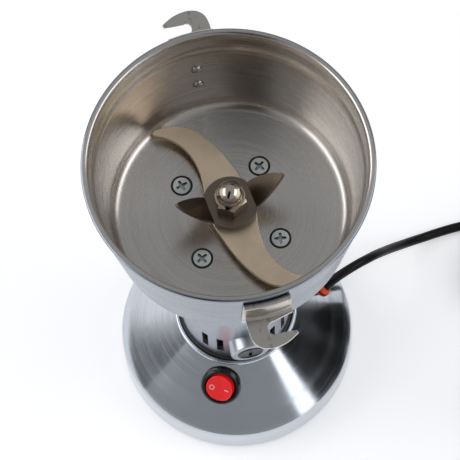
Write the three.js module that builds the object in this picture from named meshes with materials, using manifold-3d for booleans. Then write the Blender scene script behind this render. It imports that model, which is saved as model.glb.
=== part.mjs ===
// Small electric high-speed grain grinder, standing upright with its bowl open.
// Millimetres, +Z up. The origin is on the shaft's line, on the surface that the feet stand on.
import * as THREE from 'three';
import { mergeVertices } from 'three/addons/utils/BufferGeometryUtils.js';
import Module from 'manifold-3d';

const wasm = await Module();
wasm.setup();

// ---------------------------------------------------------------- driving sizes
const TURN = 2 * Math.PI;
const SEGMENTS_LARGE = 32;
const SEGMENTS_MEDIUM = 16;
const SEGMENTS_SMALL = 10;

// Clearances
const RUNNING_GAP = 0.3;        // round a turning piece
const SEAT_GAP = 0.15;          // between pieces that are clamped or pressed together
const SHELL_GAP = 0.3;          // between a cover and what it closes

// Base shell: a cone with a vertical hem, standing on rubber feet
const BASE_RADIUS = 55.4;
const HEM_TOP = 17;
const SHELL_BOTTOM = 2;
const SHELL_WALL = 1.3;
const CONE_SAG = 0.7;
const LIP_TOP = 47;
const LIP_WIDTH = 1.9;
const LIP_BEAD = 1.4;

// Motor housing: the vented neck under the bowl
const NECK_RADIUS = 25.6;
const NECK_WALL = 2.2;
const NECK_BOTTOM = 40;
const SEAL_WIDTH = 1.1;
const VENT_WIDTH = 3.2;
const VENT_BOTTOM = 54.5;
const VENT_TOP = 69.5;
const VENT_TURNS = [-46.4, -29.3, 29.3, 46.4].map(THREE.MathUtils.degToRad);   // from each brush boss
const BOSS_ANGLE = THREE.MathUtils.degToRad(-79.5);
const BOSS_HEIGHT = 66.5;
const BOSS_RADIUS = 9;
const BOSS_PROUD = 5.4;         // how far the bosses stand out of the neck
const FLANGE_OVERHANG = 7.4;
const FLANGE_THICKNESS = 8;
const NOSE_RADIUS = 9.6;
const NOSE_RISE = 1.4;

// Bowl
const BOWL_TOP = 225;
const BOWL_DEPTH = 56.25;
const BOWL_RADIUS = 61.5;
const BOWL_FLOOR_THICKNESS = 1.2;
const FLOOR_RADIUS = 48.9;
const FLOOR_FILLET = 3;
const RIM_WIDTH = 2.5;
const BAND_DEPTH = 10.8;
const BAND_INSET = 3.5;
const BAND_STEP = 1.4;
const WALL_AT_FLOOR = 1.3;
const BOTTOM_CORNER = 4;

// Screws through the bowl's floor
const FLOOR_SCREW_COUNT = 4;
const FLOOR_SCREW_CIRCLE = 24.7;
const FLOOR_SCREW_ANGLE = THREE.MathUtils.degToRad(-32.9);
const FLOOR_SCREW_HEAD = 3.8;
const FLOOR_SCREW_SHANK = 2;
const FLOOR_SCREW_LENGTH = 10;
const COUNTERSINK_RADIUS = 4.6;

// Lid hooks, two, half a turn apart
const HOOK_ANGLE = THREE.MathUtils.degToRad(-78);
const HOOK_PLATE = 1.2;
const HOOK_HALF_WIDTH = 9.9;
const HOOK_LEG_OUT = 1.9;        // from the rim's edge to the middle of the outer leg
const HOOK_REACH_OUT = 16.9;     // from the rim's edge to the tongue's end
const HOOK_SLOT_OUT = 5.4;       // from the rim's edge to the slot's near side
const HOOK_SLOT_WIDTH = 6.6;
const HOOK_FOLD_DROP = 4.1;      // heights below the rim
const HOOK_TONGUE_DROP = 14.5;
const HOOK_TAB_DROP = 41;
const RIVET_DROPS = [36.4, 24.4];
const HOOK_SLOT_CENTRE = 1;
const HOOK_SEAT_GAP = 0.3;       // between the flat tab and the round bowl
const RIVET_SHANK = 1.6;
const RIVET_HEAD = 2.4;
const RIVET_DOME = 1;
const RIVET_HEAD_GAP = 0.75;      // the walls slope, so a square head stands off them

// Shaft and blades
const SHAFT_RADIUS = 4;
const SHAFT_BOTTOM = 26;
const SHAFT_SHOULDER_RADIUS = 5.2;
const BLADE_LIFT = 4.7;
const LOWER_BLADE_THICKNESS = 2.5;
const SPACER_THICKNESS = 2.6;
const SPACER_RADIUS = 8;
const UPPER_BLADE_THICKNESS = 1.4;
const UPPER_BLADE_HUB = 11.9;
const UPPER_BLADE_TURN = THREE.MathUtils.degToRad(17.8);
const WING_REACH = 24;
const WING_RISE = 15;
const NUT_ACROSS_FLATS = 13;
const NUT_HEX_HEIGHT = 6.6;
const NUT_HEIGHT = 15;
const NUT_DOME_RADIUS = 5.9;

// Motor
const BEARING_RADIUS = 11;
const BEARING_WIDTH = 7;
const STATOR_BOTTOM = 86;
const STATOR_HEIGHT = 46;
const STATOR_YOKE = 2.6;
const ARMATURE_RADIUS = 15.6;
const AIR_GAP = 0.6;
const POLE_SHOE = 1.5;
const POLE_NECK_WIDTH = 13;
const POLE_HALF_ANGLE = THREE.MathUtils.degToRad(52);
const COIL_END = 5;
const WINDING_END = 7;
const ARMATURE_SLOTS = 8;
const ARMATURE_SLOT_WIDTH = 3.2;
const ARMATURE_SLOT_DEPTH = 6;
const COMMUTATOR_RADIUS = 10.8;
const COMMUTATOR_HEIGHT = 16;
const BRUSH_SIZE = 5.6;
const BRUSH_LENGTH = 8;
const CAP_RADIUS = 6;
const CAP_THICKNESS = 2.4;
const FAN_RADIUS = 21;
const FAN_TOP = 37;
const FAN_HEIGHT = 8;
const FAN_BLADES = 7;

// Bottom plate, feet and their screws
const PLATE_BOTTOM = 3.5;
const PLATE_THICKNESS = 2;
const PLATE_VENT_COUNT = 12;
const FOOT_COUNT = 4;
const FOOT_CIRCLE = 43;
const FOOT_ANGLE = THREE.MathUtils.degToRad(45);
const FOOT_RADIUS = 7;
const FOOT_SCREW_HEAD = 3.2;
const FOOT_SCREW_SHANK = 1.5;
const FOOT_SCREW_LENGTH = 11;
const POST_RADIUS = 4;
const POST_TOP = 15;

// Switch: a round rocker in the cone
const SWITCH_ANGLE = THREE.MathUtils.degToRad(-104);
const SWITCH_SHARE = 0.29;       // how far down the cone's slope, from the lip to the hem
const SWITCH_BODY_RADIUS = 8.3;
const BEZEL_OVERHANG = 1.3;
const BEZEL_THICKNESS = 2.2;
const SWITCH_BODY_DEPTH = 14;
const ROCKER_WALL = 1.4;         // from the switch body's outside to the rocker
const ROCKER_GAP = 0.5;
const ROCKER_TILT = THREE.MathUtils.degToRad(10);
const ROCKER_RISE = 2.6;
const ROCKER_PIVOT_DEPTH = 0.8;

// Mains lead
const CORD_RADIUS = 2.25;
const CORD_SIDES = 8;
const CORD_STEPS = 44;
const GROMMET_ANGLE = THREE.MathUtils.degToRad(17.2);
const GROMMET_SHARE = 0.5736;     // how far down the cone's slope, from the lip to the hem
const GROMMET_RADIUS = 3.3;
const GROMMET_COLLAR = 4;
const GROMMET_OUTSIDE = 2.6;
const GROMMET_INSIDE = 18;
const COIL_CENTRE = new THREE.Vector2(147, 26.3);
const COIL_MIDDLE_RADIUS = 25;
const COIL_WIDE = 2;
const COIL_LAYERS = 3;
const TIE_WIDTH = 8;
const TIE_THICKNESS = 0.8;
const TIE_ANGLE = THREE.MathUtils.degToRad(200);
const PLUG_PIN_RADIUS = 2;
const PLUG_PIN_LENGTH = 19;
const PLUG_PIN_SPACING = 19;
const PLUG_LENGTH = 36;
const PLUG_WIDTH = 35;
const PLUG_THICKNESS = 13.6;
const PLUG_RELIEF = 22;
const PLUG_PLACE = new THREE.Vector3(151, -21.5, PLUG_THICKNESS / 2 + 0.1);
const PLUG_TURN = THREE.MathUtils.degToRad(-120);

// ---------------------------------------------------------------- worked-out sizes
const FLOOR_Z = BOWL_TOP - BOWL_DEPTH;
const BOWL_BOTTOM = FLOOR_Z - BOWL_FLOOR_THICKNESS;
const FLANGE_TOP = BOWL_BOTTOM - SEAT_GAP;
const BLADE_Z = FLOOR_Z + BLADE_LIFT;
const SPACER_Z = BLADE_Z + LOWER_BLADE_THICKNESS + SEAT_GAP;
const UPPER_BLADE_Z = SPACER_Z + SPACER_THICKNESS + SEAT_GAP;
const NUT_Z = UPPER_BLADE_Z + UPPER_BLADE_THICKNESS + SEAT_GAP;
const SHAFT_BORE = SHAFT_RADIUS + SEAT_GAP;
const HOOK_LEG_RADIUS = BOWL_RADIUS + HOOK_LEG_OUT;
const HOOK_REACH = BOWL_RADIUS + HOOK_REACH_OUT;
const HOOK_SLOT_NEAR = BOWL_RADIUS + HOOK_SLOT_OUT;
const HOOK_FOLD_TOP = BOWL_TOP - HOOK_FOLD_DROP;
const HOOK_TONGUE_TOP = BOWL_TOP - HOOK_TONGUE_DROP;
const HOOK_TAB_BOTTOM = BOWL_TOP - HOOK_TAB_DROP;
const RIVET_HEIGHTS = RIVET_DROPS.map((drop) => BOWL_TOP - drop);
const BOSS_REACH = NECK_RADIUS + BOSS_PROUD;
const FLANGE_RADIUS = NECK_RADIUS + FLANGE_OVERHANG;
const STATOR_TOP = STATOR_BOTTOM + STATOR_HEIGHT;
const HOUSING_BORE = NECK_RADIUS - NECK_WALL;
const STATOR_RADIUS = HOUSING_BORE - RUNNING_GAP;
const SEAL_RADIUS = NECK_RADIUS + SEAT_GAP + SEAL_WIDTH;
const LIP_INNER = SEAL_RADIUS + SEAT_GAP;
const LIP_OUTER = LIP_INNER + LIP_WIDTH;
const CONE_SLOPE = Math.atan2(LIP_TOP - LIP_BEAD - HEM_TOP, BASE_RADIUS - LIP_OUTER);
const LOWER_BEARING_Z = BOSS_HEIGHT - COMMUTATOR_HEIGHT / 2 - 3 - BEARING_WIDTH;
const UPPER_BEARING_Z = FLANGE_TOP - FLANGE_THICKNESS - 3;

const BEZEL_RADIUS = SWITCH_BODY_RADIUS + BEZEL_OVERHANG;
const ROCKER_RADIUS = SWITCH_BODY_RADIUS - ROCKER_WALL;
const SWITCH_PLACE = LIP_OUTER + (BASE_RADIUS - LIP_OUTER) * SWITCH_SHARE;
const GROMMET_PLACE = LIP_OUTER + (BASE_RADIUS - LIP_OUTER) * GROMMET_SHARE;

function coneHeight(radius) {
  const share = (radius - LIP_OUTER) / (BASE_RADIUS - LIP_OUTER);
  const straight = LIP_TOP - LIP_BEAD - (radius - LIP_OUTER) * Math.tan(CONE_SLOPE);
  return straight - CONE_SAG * 4 * share * (1 - share);
}

// ---------------------------------------------------------------- helpers
function toSolid(geometry) {
  const bare = geometry.clone();
  bare.deleteAttribute('normal');
  bare.deleteAttribute('uv');
  const merged = mergeVertices(bare, 1e-4);
  return new wasm.Manifold(new wasm.Mesh({
    numProp: 3,
    vertProperties: new Float32Array(merged.attributes.position.array),
    triVerts: new Uint32Array(merged.index.array),
  }));
}

function toGeometry(solid) {
  const mesh = solid.getMesh();
  const geometry = new THREE.BufferGeometry();
  geometry.setAttribute('position', new THREE.BufferAttribute(mesh.vertProperties.slice(), 3));
  geometry.setIndex(new THREE.BufferAttribute(mesh.triVerts.slice(), 1));
  return geometry;
}

function combine(action, first, others) {
  let solid = toSolid(first);
  for (const other of others) {
    solid = solid[action](toSolid(other));
  }
  return toGeometry(solid);
}

const join = (first, ...others) => combine('add', first, others);
const cut = (first, ...others) => combine('subtract', first, others);
const common = (first, ...others) => combine('intersect', first, others);

// A closed ring of [radius, z] points, turned about Z. Listed anticlockwise, radius to the right.
function revolveRing(profile, segments = SEGMENTS_LARGE) {
  const points = [...profile, profile[0]].map(([radius, z]) => new THREE.Vector2(radius, z));
  return new THREE.LatheGeometry(points, segments).rotateX(Math.PI / 2);
}

// [radius, z] points from the axis, up the outside and back to the axis.
function revolve(profile, segments = SEGMENTS_SMALL) {
  const points = profile.map(([radius, z]) => new THREE.Vector2(radius, z));
  return new THREE.LatheGeometry(points, segments).rotateX(Math.PI / 2);
}

function disc(radius, bottom, top, segments = SEGMENTS_SMALL) {
  return revolve([[0, bottom], [radius, bottom], [radius, top], [0, top]], segments);
}

function ring(inner, outer, bottom, top, segments = SEGMENTS_SMALL) {
  return revolveRing([[inner, bottom], [outer, bottom], [outer, top], [inner, top]], segments);
}

function block(sizeX, sizeY, sizeZ, x = 0, y = 0, z = 0) {
  return new THREE.BoxGeometry(sizeX, sizeY, sizeZ).translate(x, y, z);
}

function slab(shape, bottom, height, curveSegments = 8) {
  const settings = { depth: height, bevelEnabled: false, curveSegments };
  return new THREE.ExtrudeGeometry(shape, settings).translate(0, 0, bottom);
}

function sector(inner, outer, middle, halfAngle, bottom, height) {
  const shape = new THREE.Shape();
  shape.absarc(0, 0, outer, middle - halfAngle, middle + halfAngle, false);
  shape.absarc(0, 0, inner, middle + halfAngle, middle - halfAngle, true);
  return slab(shape, bottom, height, SEGMENTS_SMALL);
}

// Arc points of a [radius, z] profile, about a centre, from one angle to another.
function bend(centreR, centreZ, radius, from, to, steps) {
  return Array.from({ length: steps + 1 }, (_, i) => {
    const angle = from + (to - from) * i / steps;
    return [centreR + radius * Math.cos(angle), centreZ + radius * Math.sin(angle)];
  });
}

function around(count, make) {
  return Array.from({ length: count }, (_, i) => make(i * TURN / count, i));
}

// ---------------------------------------------------------------- materials and scene graph
const FINISHES = {
  brushedSteel: { color: 0x9a9490, roughness: 0.38, metalness: 1 },
  satinSteel: { color: 0x9c9ea3, roughness: 0.45, metalness: 1 },
  polishedSteel: { color: 0xb4b6ba, roughness: 0.15, metalness: 1 },
  castAluminium: { color: 0xa9adb3, roughness: 0.3, metalness: 1 },
  bladeSteel: { color: 0xb9a588, roughness: 0.35, metalness: 1 },
  darkSteel: { color: 0x4f463d, roughness: 0.35, metalness: 1 },
  nickel: { color: 0xb8aa98, roughness: 0.18, metalness: 1 },
  zinc: { color: 0xaeb3b0, roughness: 0.35, metalness: 1 },
  iron: { color: 0x6b6d70, roughness: 0.55, metalness: 1 },
  copper: { color: 0xa8562c, roughness: 0.4, metalness: 1 },
  carbon: { color: 0x26262a, roughness: 0.7, metalness: 0 },
  blackPlastic: { color: 0x121214, roughness: 0.35, metalness: 0 },
  blackRubber: { color: 0x151515, roughness: 0.75, metalness: 0 },
  redPlastic: { color: 0xc4161a, roughness: 0.2, metalness: 0 },
  orangeRubber: { color: 0xc8391a, roughness: 0.6, metalness: 0 },
};

const grinder = new THREE.Group();
grinder.name = 'grain_grinder';

function addPart(name, geometry, finish, parent = grinder) {
  const mesh = new THREE.Mesh(geometry, new THREE.MeshStandardMaterial(FINISHES[finish]));
  mesh.name = name;
  parent.add(mesh);
  return mesh;
}

// A group at a place on the cone, its own +Z square to the cone and its own +X round the cone.
function coneGroup(angle, place) {
  const group = new THREE.Group();
  const outward = new THREE.Vector3(Math.cos(angle), Math.sin(angle), 0);
  const tangent = new THREE.Vector3(-Math.sin(angle), Math.cos(angle), 0);
  const normal = outward.clone().multiplyScalar(Math.sin(CONE_SLOPE));
  normal.z = Math.cos(CONE_SLOPE);
  const upSlope = normal.clone().cross(tangent);
  const axes = new THREE.Matrix4().makeBasis(tangent, upSlope, normal);
  group.quaternion.setFromRotationMatrix(axes);
  group.position.copy(outward).multiplyScalar(place);
  group.position.z = coneHeight(place);
  grinder.add(group);
  group.updateMatrixWorld(true);
  return group;
}

const switchGroup = coneGroup(SWITCH_ANGLE, SWITCH_PLACE);
const grommetGroup = coneGroup(GROMMET_ANGLE, GROMMET_PLACE);

// A cutter that makes a round hole in the cone, square to it.
function coneHole(group, radius, depth) {
  return disc(radius, -depth, depth, SEGMENTS_MEDIUM).applyMatrix4(group.matrixWorld);
}

// ---------------------------------------------------------------- bowl
function bowlOuterRadius(z) {
  const lowest = FLOOR_RADIUS + FLOOR_FILLET + WALL_AT_FLOOR;
  const share = (z - FLOOR_Z - FLOOR_FILLET) / (BOWL_DEPTH - FLOOR_FILLET);
  return lowest + (BOWL_RADIUS - lowest) * share;
}

function bowlInnerRadius(z) {
  const lowest = FLOOR_RADIUS + FLOOR_FILLET;
  const bandBottom = BOWL_TOP - BAND_DEPTH;
  const highest = BOWL_RADIUS - BAND_INSET - BAND_STEP;
  return lowest + (highest - lowest) * (z - FLOOR_Z - FLOOR_FILLET) / (bandBottom - FLOOR_Z - FLOOR_FILLET);
}

function floorScrewPlace(index) {
  const angle = FLOOR_SCREW_ANGLE + index * TURN / FLOOR_SCREW_COUNT;
  return [FLOOR_SCREW_CIRCLE * Math.cos(angle), FLOOR_SCREW_CIRCLE * Math.sin(angle)];
}

function hookTurn(index) {
  return HOOK_ANGLE + index * Math.PI;
}

function rivetHole(turn, height) {
  const hole = disc(RIVET_SHANK + SEAT_GAP, bowlInnerRadius(height) - 3, HOOK_LEG_RADIUS + 3);
  return hole.rotateY(Math.PI / 2).translate(0, 0, height).rotateZ(turn);
}

function makeBowl() {
  const cornerZ = BOWL_BOTTOM + BOTTOM_CORNER;
  const cornerRadius = bowlOuterRadius(cornerZ);
  const bandBottom = BOWL_TOP - BAND_DEPTH;
  const profile = [
    [NOSE_RADIUS + SEAT_GAP, BOWL_BOTTOM],
    ...bend(cornerRadius - BOTTOM_CORNER, cornerZ, BOTTOM_CORNER, -Math.PI / 2, 0, 3),
    [BOWL_RADIUS, BOWL_TOP - 1],
    [BOWL_RADIUS - 0.3, BOWL_TOP],
    [BOWL_RADIUS - RIM_WIDTH, BOWL_TOP],
    [BOWL_RADIUS - BAND_INSET, BOWL_TOP - 1.2],
    [BOWL_RADIUS - BAND_INSET, bandBottom],
    [bowlInnerRadius(bandBottom), bandBottom - 1],
    ...bend(FLOOR_RADIUS, FLOOR_Z + FLOOR_FILLET, FLOOR_FILLET, 0, -Math.PI / 2, 3),
    [NOSE_RADIUS + SEAT_GAP, FLOOR_Z],
  ];
  const countersinks = around(FLOOR_SCREW_COUNT, (_, i) => {
    const [x, y] = floorScrewPlace(i);
    return countersink().translate(x, y, 0);
  });
  const rivetHoles = [0, 1].flatMap((i) => RIVET_HEIGHTS.map((z) => rivetHole(hookTurn(i), z)));
  return cut(revolveRing(profile), ...countersinks, ...rivetHoles);
}

// The cone and bore that a floor screw needs, through the floor and into the flange below it.
function countersink() {
  const boreRadius = FLOOR_SCREW_SHANK + RUNNING_GAP;
  const coneBottom = FLOOR_Z - (COUNTERSINK_RADIUS - boreRadius);
  return revolve([
    [0, FLOOR_Z - FLOOR_SCREW_LENGTH],
    [boreRadius, FLOOR_Z - FLOOR_SCREW_LENGTH],
    [boreRadius, coneBottom],
    [COUNTERSINK_RADIUS, FLOOR_Z],
    [COUNTERSINK_RADIUS, FLOOR_Z + 1],
    [0, FLOOR_Z + 1],
  ]);
}

function makeFloorScrew() {
  const headTop = FLOOR_Z + 0.1;
  const coneBottom = headTop - (FLOOR_SCREW_HEAD - FLOOR_SCREW_SHANK);
  const screw = revolve([
    [0, headTop - FLOOR_SCREW_LENGTH + 1],
    [FLOOR_SCREW_SHANK, headTop - FLOOR_SCREW_LENGTH + 1],
    [FLOOR_SCREW_SHANK, coneBottom],
    [FLOOR_SCREW_HEAD, headTop],
    [0, headTop],
  ]);
  const recess = block(3.6, 0.9, 2.4, 0, 0, headTop);
  return cut(screw, recess, recess.clone().rotateZ(Math.PI / 2));
}

function makeScrewSeal() {
  const bottom = FLOOR_Z - 0.9;
  const inner = FLOOR_SCREW_HEAD + SEAT_GAP * Math.SQRT2 - 0.1;
  const outer = COUNTERSINK_RADIUS - SEAT_GAP * Math.SQRT2;
  const fall = FLOOR_Z - bottom;
  return revolveRing([
    [inner - fall, bottom],
    [outer - fall, bottom],
    [outer, FLOOR_Z],
    [inner, FLOOR_Z],
  ], SEGMENTS_SMALL + 2);
}

addPart('bowl', makeBowl(), 'brushedSteel');
for (let i = 0; i < FLOOR_SCREW_COUNT; i += 1) {
  const [x, y] = floorScrewPlace(i);
  addPart(`bowl_screw_${i + 1}`, makeFloorScrew(), 'zinc').position.set(x, y, 0);
  addPart(`bowl_screw_seal_${i + 1}`, makeScrewSeal(), 'blackRubber').position.set(x, y, 0);
}

// ---------------------------------------------------------------- lid hooks and rivets
// The bent strip, wrapped round the bowl: a ring of [radius, z] points.
function hookStripProfile() {
  const tabInner = bowlOuterRadius(HOOK_FOLD_TOP) + HOOK_SEAT_GAP;
  const footInner = bowlOuterRadius(HOOK_TAB_BOTTOM) + HOOK_SEAT_GAP;
  const legInner = HOOK_LEG_RADIUS - HOOK_PLATE / 2;
  const legOuter = HOOK_LEG_RADIUS + HOOK_PLATE / 2;
  const foldRadius = (legOuter - tabInner) / 2;
  const foldZ = HOOK_FOLD_TOP - foldRadius;
  const tongueBottom = HOOK_TONGUE_TOP - HOOK_PLATE;
  return [
    [footInner, HOOK_TAB_BOTTOM],
    [footInner + HOOK_PLATE, HOOK_TAB_BOTTOM],
    [tabInner + HOOK_PLATE, foldZ],
    [legInner, foldZ],
    [legInner, tongueBottom],
    [HOOK_REACH + 1, tongueBottom],
    [HOOK_REACH + 1, HOOK_TONGUE_TOP],
    [legOuter, HOOK_TONGUE_TOP],
    ...bend(tabInner + foldRadius, foldZ, foldRadius, 0, Math.PI, 5),
  ];
}

// The strip's outline from above: X outward, Y to the side on which the slot is open.
function hookPlanShape() {
  const shape = new THREE.Shape();
  const slotFar = HOOK_SLOT_NEAR + HOOK_SLOT_WIDTH;
  shape.moveTo(BOWL_RADIUS - 14, -HOOK_HALF_WIDTH);
  shape.lineTo(HOOK_REACH - 8.4, -HOOK_HALF_WIDTH);
  shape.bezierCurveTo(HOOK_REACH - 3.4, -HOOK_HALF_WIDTH, HOOK_REACH, -7.5, HOOK_REACH, -3);
  shape.bezierCurveTo(HOOK_REACH, 2, HOOK_REACH - 1.4, 7, HOOK_REACH - 3.8, HOOK_HALF_WIDTH);
  shape.lineTo(slotFar, HOOK_HALF_WIDTH - 0.4);
  shape.lineTo(slotFar - 0.6, HOOK_SLOT_CENTRE);
  shape.absarc(HOOK_SLOT_NEAR + HOOK_SLOT_WIDTH / 2, HOOK_SLOT_CENTRE, HOOK_SLOT_WIDTH / 2 - 0.3,
    0, -Math.PI, true);
  shape.lineTo(HOOK_SLOT_NEAR + 0.2, HOOK_SLOT_CENTRE + 1);
  shape.lineTo(HOOK_LEG_RADIUS + 1.4, HOOK_HALF_WIDTH);
  shape.lineTo(BOWL_RADIUS - 14, HOOK_HALF_WIDTH);
  return shape;
}

function makeHook() {
  const standing = revolveRing(hookStripProfile());
  const plan = slab(hookPlanShape(), HOOK_TAB_BOTTOM - 2, HOOK_FOLD_TOP - HOOK_TAB_BOTTOM + 4, 8);
  const holes = RIVET_HEIGHTS.map((z) => rivetHole(0, z));
  return cut(common(standing, plan), ...holes);
}

function makeRivet(height) {
  const inner = bowlInnerRadius(height) - RIVET_HEAD_GAP;
  const outer = bowlOuterRadius(height) + HOOK_SEAT_GAP + HOOK_PLATE + RIVET_HEAD_GAP;
  const body = revolve([
    [0, inner - RIVET_DOME],
    [RIVET_HEAD * 0.6, inner - RIVET_DOME * 0.75],
    [RIVET_HEAD, inner],
    [RIVET_SHANK, inner],
    [RIVET_SHANK, outer],
    [RIVET_HEAD, outer],
    [RIVET_HEAD * 0.6, outer + RIVET_DOME * 0.75],
    [0, outer + RIVET_DOME],
  ]);
  return body.rotateY(Math.PI / 2).translate(0, 0, height);
}

for (const [i, side] of ['front', 'rear'].entries()) {
  addPart(`lid_hook_${side}`, makeHook(), 'satinSteel').rotation.z = hookTurn(i);
  for (const [k, level] of ['lower', 'upper'].entries()) {
    addPart(`rivet_${side}_${level}`, makeRivet(RIVET_HEIGHTS[k]), 'zinc').rotation.z = hookTurn(i);
  }
}

// ---------------------------------------------------------------- motor housing
function bossSides() {
  return [BOSS_ANGLE, BOSS_ANGLE + Math.PI];
}

// A cylinder lying along a brush boss, between two distances from the shaft's line.
function bossCylinder(radius, from, to, angle, segments = SEGMENTS_SMALL) {
  return disc(radius, from, to, segments).rotateY(Math.PI / 2).translate(0, 0, BOSS_HEIGHT).rotateZ(angle);
}

function makeHousing() {
  const flangeBottom = FLANGE_TOP - FLANGE_THICKNESS;
  const pocketWall = BEARING_RADIUS + SEAT_GAP + 2.5;
  const pocketBottom = UPPER_BEARING_Z - 1;
  const shell = revolveRing([
    [HOUSING_BORE, NECK_BOTTOM],
    [NECK_RADIUS, NECK_BOTTOM],
    [NECK_RADIUS, flangeBottom - 12],
    [NECK_RADIUS + 1.5, flangeBottom - 4],
    [FLANGE_RADIUS - 1.5, flangeBottom],
    [FLANGE_RADIUS, flangeBottom + 1],
    [FLANGE_RADIUS, FLANGE_TOP],
    [NOSE_RADIUS, FLANGE_TOP],
    [NOSE_RADIUS, FLOOR_Z + NOSE_RISE],
    [NOSE_RADIUS - 1.6, FLOOR_Z + NOSE_RISE],
    [NOSE_RADIUS - 1.6, UPPER_BEARING_Z + BEARING_WIDTH + SEAT_GAP],
    [BEARING_RADIUS + SEAT_GAP, UPPER_BEARING_Z + BEARING_WIDTH + SEAT_GAP],
    [BEARING_RADIUS + SEAT_GAP, pocketBottom],
    [pocketWall, pocketBottom],
    [pocketWall, flangeBottom + 1],
    [HOUSING_BORE, flangeBottom - 1],
  ]);
  const bosses = bossSides().map((angle) => bossCylinder(
    BOSS_RADIUS, HOUSING_BORE + 0.4, BOSS_REACH, angle, SEGMENTS_MEDIUM,
  ));
  const tubes = bossSides().map((angle) => bossCylinder(
    BOSS_RADIUS - 3, COMMUTATOR_RADIUS + 3, BOSS_REACH - 4, angle,
  ));
  const bores = bossSides().flatMap((angle) => [
    block(BOSS_REACH, BRUSH_SIZE + 2 * SEAT_GAP, BRUSH_SIZE + 2 * SEAT_GAP, BOSS_REACH / 2, 0, BOSS_HEIGHT)
      .rotateZ(angle),
    bossCylinder(CAP_RADIUS + SEAT_GAP, BOSS_REACH - CAP_THICKNESS - SEAT_GAP, BOSS_REACH + 1, angle,
      SEGMENTS_MEDIUM),
  ]);
  const vents = bossSides().flatMap((angle) => VENT_TURNS.map((turn) => block(
    NECK_WALL * 3, VENT_WIDTH, VENT_TOP - VENT_BOTTOM,
    NECK_RADIUS - NECK_WALL / 2, 0, (VENT_TOP + VENT_BOTTOM) / 2,
  ).rotateZ(angle + turn)));
  const sockets = around(FLOOR_SCREW_COUNT, (_, i) => {
    const [x, y] = floorScrewPlace(i);
    return countersink().translate(x, y, 0);
  });
  return cut(join(shell, ...bosses, ...tubes), ...bores, ...vents, ...sockets);
}

addPart('motor_housing', makeHousing(), 'castAluminium');
addPart('neck_seal', revolveRing([
  [NECK_RADIUS + SEAT_GAP, LIP_TOP - 4],
  [SEAL_RADIUS, LIP_TOP - 4],
  [SEAL_RADIUS, LIP_TOP - 0.4],
  [NECK_RADIUS + SEAT_GAP, LIP_TOP + 0.4],
]), 'blackRubber');

// ---------------------------------------------------------------- base shell
function footPlace(index) {
  const angle = FOOT_ANGLE + index * TURN / FOOT_COUNT;
  return [FOOT_CIRCLE * Math.cos(angle), FOOT_CIRCLE * Math.sin(angle)];
}

function makeBaseShell() {
  const steps = 3;
  const coneFrom = LIP_OUTER;
  const coneTo = BASE_RADIUS - 1.2;
  const outside = Array.from({ length: steps + 1 }, (_, i) => {
    const radius = coneTo + (coneFrom - coneTo) * i / steps;
    return [radius, coneHeight(radius)];
  });
  const drop = SHELL_WALL / Math.cos(CONE_SLOPE);
  const inside = outside.map(([radius, z]) => [radius, z - drop]).reverse();
  inside[0] = [LIP_INNER, coneHeight(LIP_OUTER) - drop];
  inside[steps] = [BASE_RADIUS - SHELL_WALL, HEM_TOP - 1.6];
  const beadRadius = (LIP_OUTER - LIP_INNER) / 2;
  const shell = revolveRing([
    [BASE_RADIUS - SHELL_WALL, SHELL_BOTTOM],
    [BASE_RADIUS, SHELL_BOTTOM],
    [BASE_RADIUS, HEM_TOP - 0.6],
    ...outside,
    ...bend(LIP_OUTER - beadRadius, LIP_TOP - beadRadius, beadRadius, 0, Math.PI, 3),
    ...inside,
  ]);
  const postReach = BASE_RADIUS - SHELL_WALL / 2;
  const postBottom = PLATE_BOTTOM + PLATE_THICKNESS + SHELL_GAP;
  const posts = around(FOOT_COUNT, (_, i) => {
    const [x, y] = footPlace(i);
    const web = block(postReach - FOOT_CIRCLE, 2 * POST_RADIUS - 2, POST_TOP - postBottom,
      (postReach + FOOT_CIRCLE) / 2, 0, (POST_TOP + postBottom) / 2);
    const post = disc(POST_RADIUS, postBottom, POST_TOP).translate(x, y, 0);
    return join(post, web.rotateZ(FOOT_ANGLE + i * TURN / FOOT_COUNT));
  });
  const bores = around(FOOT_COUNT, (_, i) => {
    const [x, y] = footPlace(i);
    return disc(FOOT_SCREW_SHANK + SEAT_GAP, 0, POST_TOP - 1).translate(x, y, 0);
  });
  return cut(join(shell, ...posts), ...bores,
    coneHole(switchGroup, SWITCH_BODY_RADIUS + SHELL_GAP, 8),
    coneHole(grommetGroup, GROMMET_RADIUS + SEAT_GAP, 8));
}

addPart('base_shell', makeBaseShell(), 'polishedSteel');

// ---------------------------------------------------------------- bottom plate and feet
function makeBottomPlate() {
  const plate = disc(BASE_RADIUS - SHELL_WALL - SHELL_GAP, PLATE_BOTTOM, PLATE_BOTTOM + PLATE_THICKNESS,
    SEGMENTS_LARGE);
  const vents = around(PLATE_VENT_COUNT, (turn) => block(15, 3.4, 8, 22, 0, PLATE_BOTTOM).rotateZ(turn));
  const bores = around(FOOT_COUNT, (_, i) => {
    const [x, y] = footPlace(i);
    return disc(FOOT_SCREW_SHANK + RUNNING_GAP, 0, 12).translate(x, y, 0);
  });
  return cut(plate, ...vents, ...bores);
}

function makeFoot() {
  const top = PLATE_BOTTOM - SEAT_GAP;
  const bore = FOOT_SCREW_SHANK + RUNNING_GAP;
  const pocket = FOOT_SCREW_HEAD + RUNNING_GAP;
  return revolveRing([
    [pocket, 0],
    [FOOT_RADIUS - 0.4, 0],
    [FOOT_RADIUS, 0.6],
    [FOOT_RADIUS, top],
    [bore, top],
    [bore, 2.2],
    [pocket, 2.2],
  ], SEGMENTS_SMALL);
}

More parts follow.
